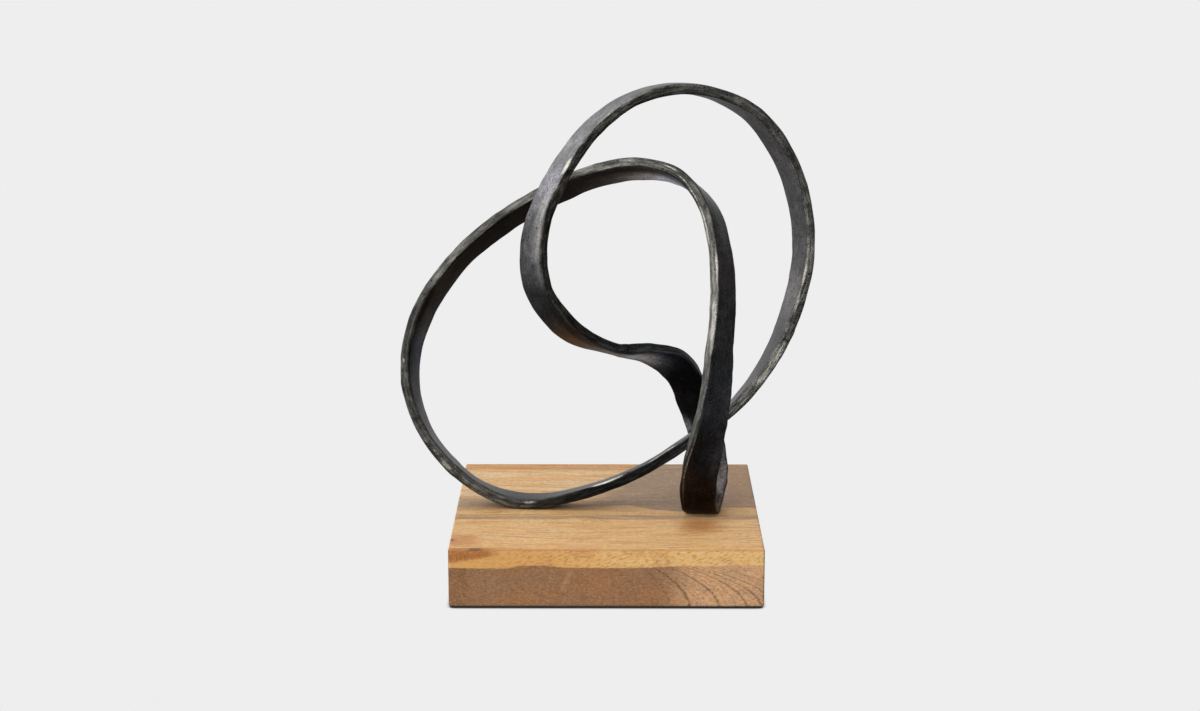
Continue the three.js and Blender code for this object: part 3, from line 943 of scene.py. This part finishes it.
def new_group(name, *numbers):
    """A node group that makes a mask from a place and numbers: its graph, the wires that it is
    given and the socket for its mask.
    """
    tree = bpy.data.node_groups.new(name, "ShaderNodeTree")
    tree.interface.new_socket("Vector", in_out="INPUT", socket_type="NodeSocketVector")
    for number in numbers:
        tree.interface.new_socket(number, in_out="INPUT", socket_type="NodeSocketFloat")
    tree.interface.new_socket("Mask", in_out="OUTPUT", socket_type="NodeSocketFloat")
    graph = Graph(tree)
    given = graph.add("NodeGroupInput").outputs
    wires = [Wire(graph, given[key]) for key in ("Vector", *numbers)]
    return graph, wires, graph.add("NodeGroupOutput").inputs["Mask"]


def build_groups():
    """The effects that more than one material uses."""
    # soft cloudy patches of about a size, from where the noise passes low to where it passes high
    g, (at, size, low, high), mask = new_group("Mottle", "Size", "Low", "High")
    g.plug(mask, g.span(g.noise(at, 1.0 / size, 4.0, 0.6), low, high))

    # small separate specks of about a size, the share of the cells that have one, and soft rims
    g, (at, size, share), mask = new_group("Specks", "Size", "Share")
    cells = g.add("ShaderNodeTexVoronoi", {"Vector": at, "Scale": 1.0 / size}).outputs
    drawn = g.read("ShaderNodeSeparateColor", 0, {0: Wire(g, cells["Color"])})
    round_speck = g.span(Wire(g, cells["Distance"]), 0.42, 0.12)
    g.plug(mask, g.math("LESS_THAN", drawn, share) * round_speck)


def new_material(name):
    """A material with its graph and its Principled shader."""
    material = bpy.data.materials.new(name)
    material.use_nodes = True
    return material, Graph(material.node_tree), material.node_tree.nodes["Principled BSDF"]


def finish_shader(g, shader, colour, roughness, height, distance):
    """Links a material's colour, roughness and relief to its shader."""
    normal = g.read("ShaderNodeBump", "Normal", {"Height": height, "Distance": distance,
                                                 "Strength": 1.0})
    for key, wire in (("Base Color", colour), ("Roughness", roughness), ("Normal", normal)):
        g.plug(shader.inputs[key], wire)


def iron_material(name, bare):
    """Blackened, waxed iron, mottled where the scale is rough, rubbed along the corners, with painted
    light and shade.
    """
    colours = bpy.context.scene.iron_colours
    speckle_dark, dull_dark = (0.025, 0.025, 0.025), (0.025, 0.025, 0.026)
    groove_dark, pit_dark = (0.012, 0.011, 0.01), (0.012, 0.011, 0.011)
    blue, rust = (0.7, 1.0, 1.53), (1.6, 1.0, 0.66)
    material, g, shader = new_material(name)
    shader.inputs["Metallic"].default_value = 1.0
    at = g.place()
    drawn = g.vector("MULTIPLY", g.attribute("on_bar", "Vector"), (0.14, 1, 1))
    narrow, arris, mark, tone, hue = (g.attribute(key) for key in
                                      ("narrow", "arris", "mark", "tone", "hue"))

    def mottle(size, low, high, shift=0.0, space=at):
        moved = g.vector("ADD", space, (shift, shift, shift))
        return g.use("Mottle", Vector=moved, Size=size, Low=low, High=high)

    # clouds of black, violet grey and brown on the wide faces, olive scale on the narrow ones
    wide = g.mix(mottle(0.022, 0.4, 0.66), colours.black, colours.violet)
    wide = g.mix(mottle(0.035, 0.5, 0.68, 0.3), wide, g.mix(0.5, wide, colours.brown))
    skin = g.mix(g.span(narrow, 0.4, 0.95), wide, colours.scale)
    skin.lay(speckle_dark, 0.65, mottle(0.0016, 0.35, 0.65, 0.9))
    skin.lay(dull_dark, 0.55, mottle(0.006, 0.45, 0.7, 1.3))
    streak = mottle(0.0016, 0.42, 0.66, 0.1, drawn)
    skin = g.mix(streak * g.span(narrow, 0.0, 1.0, 0.05, 0.16), skin, colours.rubbed)
    groove = mottle(0.0018, 0.5, 0.66, 0.7, drawn)
    skin = g.mix(groove * g.span(narrow, 0.0, 1.0, 0.1, 0.4), skin, groove_dark)

    # bluer or rustier stretches, partly heat colours and partly the tint of painted reflections, and
    # darker or brighter ones, partly burnt or cleaner skin and partly painted shade and painted
    # reflections
    tint = g.mix(g.span(hue, 0.0, -1.0), (1, 1, 1), blue)
    tint = g.mix(g.span(hue, 0.0, 1.0), tint, rust)
    skin = g.vector("MULTIPLY", g.vector("MULTIPLY", skin, tint), g.math("POWER", 2.0, tone))

    # bare grains along the corners, in patches, and where it was rubbed or ground; the marks add
    # rubbed metal and painted highlights
    grit = mottle(0.0009, 0.42, 0.62, 0.2)
    patch = mottle(0.016, 0.45, 0.62, 0.4)
    edge = g.math("MAXIMUM", g.span(arris, 0.25, 0.85), narrow * 0.6)
    # no bare grains on stretches that are burnt dark or carry painted shade
    unburnt_and_unshaded = g.span(tone, -1.5, -0.2, 0.1, 1.0)
    grains = g.both(grit, edge, patch * 0.2 + 0.03, unburnt_and_unshaded)
    # the marks' rubbed metal and painted highlights, broken up into flakes
    least = 0.68 - mark * 0.42
    flakes = mottle(0.0011, least, least + 0.2, 1.7)
    marked = g.span(mark, 0.0, 0.9) * g.span(flakes, 0.0, 1.0, 0.2, 0.62)
    bare_and_highlit = g.math("MAXIMUM", grains, marked + g.span(mark, 1.0, 1.5, 0.0, 0.45))
    bare_and_highlit = g.math("MAXIMUM", bare_and_highlit, g.both(mottle(0.0013, 0.4, 0.7, 0.5), bare, unburnt_and_unshaded))
    skin = g.mix(bare_and_highlit, skin, colours.rubbed)
    pits = g.math("MAXIMUM", g.use("Specks", Vector=at, Size=0.0024, Share=0.07), mark * -1.0)
    skin.lay(pit_dark, 0.8, pits)

    roughness = (g.span(edge + grit, 0.0, 2.0, 0.36, 0.5)
                 + g.span(tone, -0.5, -2.0, 0.0, 0.12))
    relief = (g.noise(at, 1100.0, 4.0, 0.6) * (edge + 0.2) + g.both(streak, narrow + 0.1, 0.6)
              - pits * 0.8)
    finish_shader(g, shader, skin, roughness, relief, 0.00025)
    return material


def wood_material():
    """Oiled hardwood with the grain along X, from zones, rings and pores placed on the block."""
    colours = bpy.context.scene.wood_colours
    material, g, shader = new_material("oiled_hardwood")
    straight = g.place()
    parts = g.add("ShaderNodeSeparateXYZ", {0: straight}).outputs
    x, y, z = (Wire(g, part) for part in parts)

    def grain(stretch, size, detail, shift, space):
        """Noise drawn out along X."""
        drawn = g.vector("ADD", g.vector("MULTIPLY", space, (1 / stretch, 1, 1)), (shift, 0, 0))
        return g.noise(drawn, 1 / size, detail, 0.6)

    sway = grain(3, 0.03, 1.0, 0.4, straight) - 0.5
    at = g.vector("ADD", straight, g.read("ShaderNodeCombineXYZ", 0, {1: sway * 0.02}))
    fine = grain(14, 0.0022, 5.0, 0.0, at)
    fleck = grain(3, 0.0013, 3.0, 0.2, at)
    broad = grain(12, 0.007, 2.0, 0.7, at)
    cloud = grain(1.5, 0.014, 3.0, 0.6, at)
    crumb = grain(1.4, 0.0012, 4.0, 0.8, at)
    jag = grain(1, 0.0025, 3.0, 0.3, at) - 0.5
    tick = grain(3, 0.0009, 2.0, 0.9, at)
    swayed = y + sway * 0.005
    front = g.span(y, -0.0972, -0.0992)

    # sapwood on the top, with streaks, a rusty back edge, a warmer patch at the left end, and on the
    # right a painted reflection and shade of the U-turn, just in front of it
    wood = g.mix(g.span(broad, 0.35, 0.7, 0.0, 0.5), colours.sapwood, colours.gold)
    wood.lay(colours.heartwood, 0.52, g.span(fine, 0.48, 0.68))
    wood.lay(colours.pale, 0.22, g.span(fine, 0.47, 0.32))
    wood.lay(colours.pale, 0.6, g.within(swayed, 0.0, 0.08, 0.004), g.span(broad, 0.6, 0.4))
    wood.lay(colours.orange, 0.4, g.span(swayed, 0.081, 0.086))
    wood.lay(colours.line, 0.5, g.within(swayed, 0.0885, 0.0893, 0.0006), g.span(x, 0.01, -0.01))
    wood.lay(colours.pink, 0.85, g.within(x, -0.102, -0.082, 0.006),
             g.within(swayed, -0.092, -0.07, 0.004))
    # painted reflection and shade of the U-turn on the top, just in front of it
    u_turn_reflection_and_shade = g.within(x, 0.05, 0.071, 0.01) * g.within(swayed, -0.062, -0.036, 0.008)
    wood.lay(colours.orange, 0.7, u_turn_reflection_and_shade)
    wood.lay(colours.heartwood, 0.35, u_turn_reflection_and_shade)

    # painted shade round the left seat, where the bar and its left loop shade the top
    wood.lay(colours.grey, 0.6, g.within(swayed, -0.014, 0.01, 0.008),
             g.within(x, -0.105, -0.035, 0.01))

    # grey streak across the top, between two thin dark lines
    wood.lay(colours.grey, 0.75, g.within(swayed, -0.0352, -0.0258, 0.0008),
             g.span(broad, 0.32, 0.6, 0.3, 1.0), g.span(fine, 0.35, 0.6, 0.6, 1.0))
    wood.lay(colours.line, 0.6, g.within(swayed, -0.0248, -0.0238, 0.0008),
             g.span(x, 0.02, -0.065, 0.15, 1.0))
    wood.lay(colours.line, 0.6, g.within(swayed, -0.035, -0.0342, 0.0007), g.span(x, -0.03, -0.06))

    # a patch of heartwood that comes up to the top on the right
    slant = x - y * 0.4526 + (sway + broad) * 0.03
    rim = g.curve(x, ((-0.1, -0.0035), (-0.001, -0.0035), (0.012, -0.0023), (0.022, -0.007),
                      (0.038, -0.014), (0.052, -0.0163), (0.075, -0.007), (0.1, -0.0086)))
    patch = g.span(slant, -0.012, 0.014) * g.span(y + sway * 0.003 - rim, -0.002, 0.0014)
    ruddy = g.mix(g.span(x, 0.065, 0.09, 0.0, 0.35), colours.grey, colours.heartwood)
    ruddy.lay(colours.light_heart, 0.25, g.span(broad, 0.5, 0.64))
    ruddy.lay(colours.sapwood, 0.5, g.span(fleck, 0.5, 0.68))
    ruddy.lay(colours.line, 0.45, g.span(fine, 0.5, 0.68))
    wood.lay(ruddy, 0.95, patch, g.span(fine, 0.75, 0.4, 0.8, 1.0))

    # the front's upper band: orange on the left, gold, then flecked
    wedge = g.span(z - x * 0.16, 0.0445, 0.0475) * g.span(x, -0.064, -0.078)
    hatch = g.noise(g.vector("MULTIPLY", straight, (1, 1, 0.12)), 1100.0, 2.0)
    lean = g.vector("ADD", straight, g.read("ShaderNodeCombineXYZ", 0, {2: x * -0.3}))
    chips = g.noise(g.vector("MULTIPLY", lean, (0.35, 1, 1)), 850.0, 3.0)
    wood.lay(colours.gold, 0.9, front)
    wood.lay(colours.orange, 0.9, front, wedge)
    wood.lay(colours.line, 0.5, front, wedge, g.span(hatch, 0.47, 0.7))
    wood.lay(colours.straw, 1.0, front, g.span(x, -0.05, 0.03))
    wood.lay(colours.orange, 0.3, front, g.span(x, -0.075, -0.04), g.span(cloud, 0.5, 0.62))
    wood.lay(colours.orange, 0.62, front, g.span(x, -0.075, -0.04, 0.4, 1.0),
             g.span(chips, 0.48, 0.7))
    wood.lay(colours.pale, 0.62, front, g.span(x, -0.06, 0.02, 0.3, 1.0), g.span(chips, 0.5, 0.34))

    # the lower part of the block is heartwood, under a wavy line
    line = g.curve(x, ((-0.1, 0.027), (-0.064, 0.027), (-0.052, 0.0288), (-0.04, 0.0288),
                       (-0.025, 0.0276), (0.009, 0.0276), (0.053, 0.0284), (0.1, 0.0284)))
    low = g.span(z - (sway + jag * 0.4) * 0.0025 - line, 0.0005, -0.0006)
    brown = g.mix(g.span(x, 0.03, 0.06), colours.heartwood, colours.light_heart)
    brown.lay(colours.line, 0.3, g.span(x, -0.085, -0.092))
    brown.lay(colours.line, 0.3, g.within(x, -0.0908, -0.0896, 0.0012))
    brown.lay(colours.grey, 0.25, g.span(cloud, 0.45, 0.62))
    brown.lay(colours.pink, 0.12, g.span(cloud, 0.5, 0.36))
    brown.lay(colours.line, 0.3, g.span(crumb, 0.5, 0.68))
    brown.lay(colours.sapwood, 0.22, g.span(crumb, 0.5, 0.34))
    brown.lay(colours.sapwood, 0.35, g.within(x - z * 0.35, -0.033, -0.0305, 0.0018),
              g.within(z, 0.0135, 0.0245, 0.003))
    wood = g.mix(low, wood, brown)

    # growth rings on the front, bent over towards the left as they rise
    ring = x / (1.0 - z * z * 580.0) + jag * 0.0035
    torn = g.both(low, front, g.span(grain(1, 0.002, 2.0, 0.5, at), 0.35, 0.55, 0.45, 1.0))
    thin = g.within(g.math("FRACT", ring / 0.0031), 0.4, 0.5, 0.15)
    wood.lay(colours.line, 0.34, thin, torn, g.span(ring, 0.01, 0.06, 0.25, 1.0))
    for where, wide, strength in RINGS:
        wood.lay(colours.line, strength, g.within(ring, where - wide, where + wide, 0.0009), torn)

    # arcs of the rings across the two end faces
    away_y, away_z = y - 0.04, z + 0.07
    pith = g.math("SQRT", away_y * away_y + away_z * away_z)
    wave = g.math("FRACT", (pith + sway * 0.004) / 0.007)
    end = g.math("ABSOLUTE", x)
    wood.lay(colours.line, 0.45, g.span(end, 0.0975, 0.0995), g.span(wave, 0.7, 0.95))

    # painted shade over the front's rounded upper edge, which also has a crack and open seams, and a
    # thin line of painted shade down its upright edges
    # painted shade over the rounded upper edge, where it faces up and forward and would catch light
    worn = g.span(z, 0.0377, 0.0383) * g.span(y, -0.0985, -0.0991)
    wood.lay(colours.heartwood, 0.65, worn)
    wood.lay(colours.line, 0.75, g.within(x, -0.087, -0.079, 0.002), g.span(y, -0.0968, -0.0976),
             g.within(z, 0.0381, 0.0394, 0.0004))
    # painted shade in a thin dark line down the two upright front edges
    wood.lay(colours.line, 0.75, g.span(end, 0.0993, 0.0998), g.span(y, -0.0984, -0.0992))
    seam = g.within(y, -0.0986, -0.098, 0.0004) * g.span(z, 0.037, 0.038)
    for start, stop, soft, strength in ((-0.099, -0.05, 0.004, 0.6), (-0.081, -0.074, 0.002, 0.9),
                                        (0.066, 0.086, 0.004, 0.5)):
        wood.lay(colours.line, strength, seam, g.within(x, start, stop, soft))

    # a knot, and pores: short dark dashes along the grain, fewer on the front's upper band
    spot = g.vector("DISTANCE", at, (-0.0985, -0.08, 0.0385), "Value")
    wood.lay(colours.line, 0.8, g.span(spot, 0.0022, 0.0008))
    pores = g.use("Specks", Vector=g.vector("MULTIPLY", at, (0.25, 1, 1)), Size=0.0008, Share=0.25)
    dull = 1.0 - g.both(front, 1.0 - low, 0.75)
    wood.lay(colours.line, 0.35, pores, dull)
    wood.lay(colours.line, 0.3, g.span(tick, 0.36, 0.66), dull)

    shader.inputs["Specular IOR Level"].default_value = 0.3
    finish_shader(g, shader, wood, g.span(fine, 0.3, 0.7, 0.5, 0.62), fine * 0.4 - pores, 0.00012)
    return material


def zinc_material():
    """Zinc plate with a cloudy tone and small bright spots."""
    dull, bright = (0.36, 0.36, 0.35), (0.72, 0.73, 0.74)
    material, g, shader = new_material("zinc_plate")
    shader.inputs["Metallic"].default_value = 1.0
    at = g.place()
    cloud = g.use("Mottle", Vector=at, Size=0.004, Low=0.35, High=0.7)
    spots = g.use("Specks", Vector=at, Size=0.0012, Share=0.2)
    plate = g.mix(cloud, bpy.context.scene.fixing_colours.zinc, dull)
    plate.lay(bright, 0.4, spots)
    finish_shader(g, shader, plate, g.span(cloud, 0.0, 1.0, 0.28, 0.42), cloud, 0.00004)
    return material


def felt_material():
    """Pressed felt: dark matted fibre with a few paler hairs."""
    worn, hair = (0.05, 0.042, 0.038), (0.16, 0.14, 0.13)
    material, g, shader = new_material("pressed_felt")
    shader.inputs["Sheen Weight"].default_value = 0.4
    shader.inputs["Sheen Roughness"].default_value = 0.6
    at = g.place()
    matted = g.use("Mottle", Vector=at, Size=0.0009, Low=0.35, High=0.7)
    hairs = g.use("Specks", Vector=g.vector("MULTIPLY", at, (0.3, 1, 1)), Size=0.0006, Share=0.25)
    felt = g.mix(matted, bpy.context.scene.fixing_colours.felt, worn)
    felt.lay(hair, 0.35, hairs)
    finish_shader(g, shader, felt, g.span(matted, 0.0, 1.0, 0.85, 1.0), matted + hairs, 0.0003)
    return material


# Operators

class KNOT_OT_bars(Operator):
    """Forge the three lengths of bar that make the knot"""
    bl_idname = "knot.bars"
    bl_label = "Bars"

    def execute(self, context):
        iron = iron_material("blackened_iron", 0.04)
        ends = (LEFT_WELD, WAIST_WELD, RIGHT_WELD, LEFT_WELD + LAP)
        for node, start, end in zip(BAR_NODES, ends, ends[1:]):
            make_bar(node.replace("bar", "forged"), start, end, iron, node)
        return {"FINISHED"}


class KNOT_OT_welds(Operator):
    """Lay a dressed weld over each joint between two lengths"""
    bl_idname = "knot.welds"
    bl_label = "Welds"

    def execute(self, context):
        ground = iron_material("ground_weld", 0.05)
        rise, sink, reach = 0.00015, 0.0005, 0.14

        def swell(length):
            """A low hump: it rises over the bar in the middle and dips under it at both ends."""
            t = 2 * length / length[-1] - 1
            return rise - (rise + sink) * np.abs(t) ** 3

        for side, where in (("left", LEFT_WELD), ("waist", WAIST_WELD), ("right", RIGHT_WELD)):
            make_bar(f"dressed_weld_{side}", where - reach, where + reach, ground,
                     f"weld_{side}", swell)
        return {"FINISHED"}


class KNOT_OT_block(Operator):
    """Plane the block, round its edges and bore the two screw wells"""
    bl_idname = "knot.block"
    bl_label = "Block"

    def execute(self, context):
        points, faces = block_surface()
        block = make_piece("planed_wood_block", points, faces.tolist(), wood_material(),
                           "wood_block")
        merge_doubles(block)
        for points, faces in screw_wells():
            cutter_mesh = bpy.data.meshes.new("screw_well")
            cutter_mesh.from_pydata(points.tolist(), [], faces)
            cutter = new_object("screw_well", cutter_mesh)
            cut = block.modifiers.new("well", "BOOLEAN")
            cut.operation = "DIFFERENCE"
            cut.solver = "EXACT"
            cut.object = cutter
            bake_modifiers(block)
            bpy.data.objects.remove(cutter)
        return {"FINISHED"}


def merge_doubles(piece):
    """Joins vertices that lie on each other, such as where two grids meet."""
    work = bmesh.new()
    work.from_mesh(piece.data)
    bmesh.ops.remove_doubles(work, verts=work.verts, dist=1e-6)
    work.to_mesh(piece.data)
    work.free()


def bake_modifiers(piece):
    """Puts the result of the modifiers into the piece's own mesh."""
    graph = bpy.context.evaluated_depsgraph_get()
    piece.data = bpy.data.meshes.new_from_object(piece.evaluated_get(graph))
    piece.modifiers.clear()


class KNOT_OT_pads(Operator):
    """Stick a felt pad under each corner of the block"""
    bl_idname = "knot.pads"
    bl_label = "Felt pads"

    def execute(self, context):
        felt = felt_material()
        for seed, corner in enumerate(("front_left", "front_right", "back_left", "back_right")):
            node = f"felt_pad_{corner}"
            points, faces = pad_surface(seed)
            make_piece(f"pressed_felt_{corner}", points + underside(node), faces, felt,
                       node)
        return {"FINISHED"}


class KNOT_OT_fixings(Operator):
    """Drive a screw with its washer into each seat from below"""
    bl_idname = "knot.fixings"
    bl_label = "Screws and washers"

    def execute(self, context):
        zinc = zinc_material()
        screw_points, screw_faces = revolve(*screw_profile())
        washer_points, washer_faces = washer_surface()
        for side in SEAT_ROWS:
            foot = underside(f"washer_{side}")
            make_piece(f"socket_screw_{side}", screw_points + foot, screw_faces, zinc,
                       f"cap_screw_{side}")
            make_piece(f"flat_washer_{side}", washer_points + foot, washer_faces, zinc,
                       f"washer_{side}")
        return {"FINISHED"}


class KNOT_OT_studio(Operator):
    """Lay the pale floor, hang the soft light and stand the camera"""
    bl_idname = "knot.studio"
    bl_label = "Studio"

    def execute(self, context):
        settings = context.scene.studio_settings
        reach = 30.0
        mesh = bpy.data.meshes.new("floor")
        corners = [(-reach, -reach, 0), (reach, -reach, 0), (reach, reach, 0), (-reach, reach, 0)]
        mesh.from_pydata(corners, [], [(0, 1, 2, 3)])
        mesh.materials.append(floor_material(settings))
        floor = new_object("floor", mesh)
        floor.visible_diffuse = False
        floor.visible_glossy = False
        light_world(context.scene)
        camera = new_object("camera", bpy.data.cameras.new("camera"))
        camera.data.lens = settings.lens
        camera.data.sensor_width = 36.0
        camera.data.clip_end = 100.0
        camera.location = settings.camera_at
        camera.rotation_euler = (math.pi / 2 - settings.camera_down, 0, settings.camera_left)
        context.scene.camera = camera
        context.scene.view_settings.view_transform = "Standard"
        return {"FINISHED"}


def floor_material(settings):
    """A pale floor that glows evenly, but for the dark gap under what stands on it."""
    reach = 0.006
    material = bpy.data.materials.new("pale_floor")
    material.use_nodes = True
    material.node_tree.nodes.clear()
    g = Graph(material.node_tree)
    openness = g.read("ShaderNodeAmbientOcclusion", "AO", {"Distance": reach})
    glow = g.read("ShaderNodeEmission", 0, {"Color": (*settings.floor, 1),
                                            "Strength": g.span(openness, 0.3, 0.75, 0.03, 1.0)})
    g.add("ShaderNodeOutputMaterial", {"Surface": glow})
    return material


def light_world(scene):
    """Soft panels of light all round: a lobe of light is even near its aim and fades out smoothly."""
    scene.world = bpy.data.worlds.new("studio")
    scene.world.use_nodes = True
    scene.world.node_tree.nodes.clear()
    g = Graph(scene.world.node_tree)
    way = g.read("ShaderNodeTexCoord", "Generated")
    height = g.read("ShaderNodeSeparateXYZ", 2, {0: way})
    above = g.span(height, -0.25, 0.1)
    total = g.span(height, -0.3, 0.1, 0.03, 0.13)
    for aim, strength, fade_from, fade_to, everywhere in LIGHT_PANELS:
        dot = g.vector("DOT_PRODUCT", way, Vector(aim).normalized(), "Value")
        lobe = g.span(dot, fade_from, fade_to, 0.0, strength)
        total = total + (lobe if everywhere else lobe * above)
    light = g.read("ShaderNodeBackground", 0, {"Strength": total, "Color": (1, 1, 1, 1)})
    g.add("ShaderNodeOutputWorld", {"Surface": light})


class KNOT_PT_panel(Panel):
    """The sizes, the colours and the pieces of the knot"""
    bl_idname = "KNOT_PT_panel"
    bl_label = "Forged knot"
    bl_space_type = "VIEW_3D"
    bl_region_type = "UI"
    bl_category = "Knot"

    def draw(self, context):
        for key, group in GROUPS.items():
            box = self.layout.box()
            box.label(text=group.__doc__)
            for name in group.__annotations__:
                box.prop(getattr(context.scene, key), name)
        for operator in OPERATORS:
            self.layout.operator(operator.bl_idname)


GROUPS = {"bar_sizes": BarSizes, "iron_colours": IronColours, "wood_colours": WoodColours,
          "fixing_colours": FixingColours, "studio_settings": StudioSettings}
OPERATORS = (KNOT_OT_studio, KNOT_OT_block, KNOT_OT_bars, KNOT_OT_welds, KNOT_OT_fixings,
             KNOT_OT_pads)


def register():
    for group in (*GROUPS.values(), *OPERATORS, KNOT_PT_panel):
        bpy.utils.register_class(group)
    for key, group in GROUPS.items():
        setattr(bpy.types.Scene, key, PointerProperty(type=group))


def unregister():
    for key in GROUPS:
        delattr(bpy.types.Scene, key)
    for group in reversed((*GROUPS.values(), *OPERATORS, KNOT_PT_panel)):
        bpy.utils.unregister_class(group)


def main():
    register()
    build_groups()
    bpy.ops.knot.studio()
    bpy.ops.knot.block()
    bpy.ops.knot.bars()
    bpy.ops.knot.welds()
    bpy.ops.knot.fixings()
    bpy.ops.knot.pads()


if __name__ == "__main__":
    main()
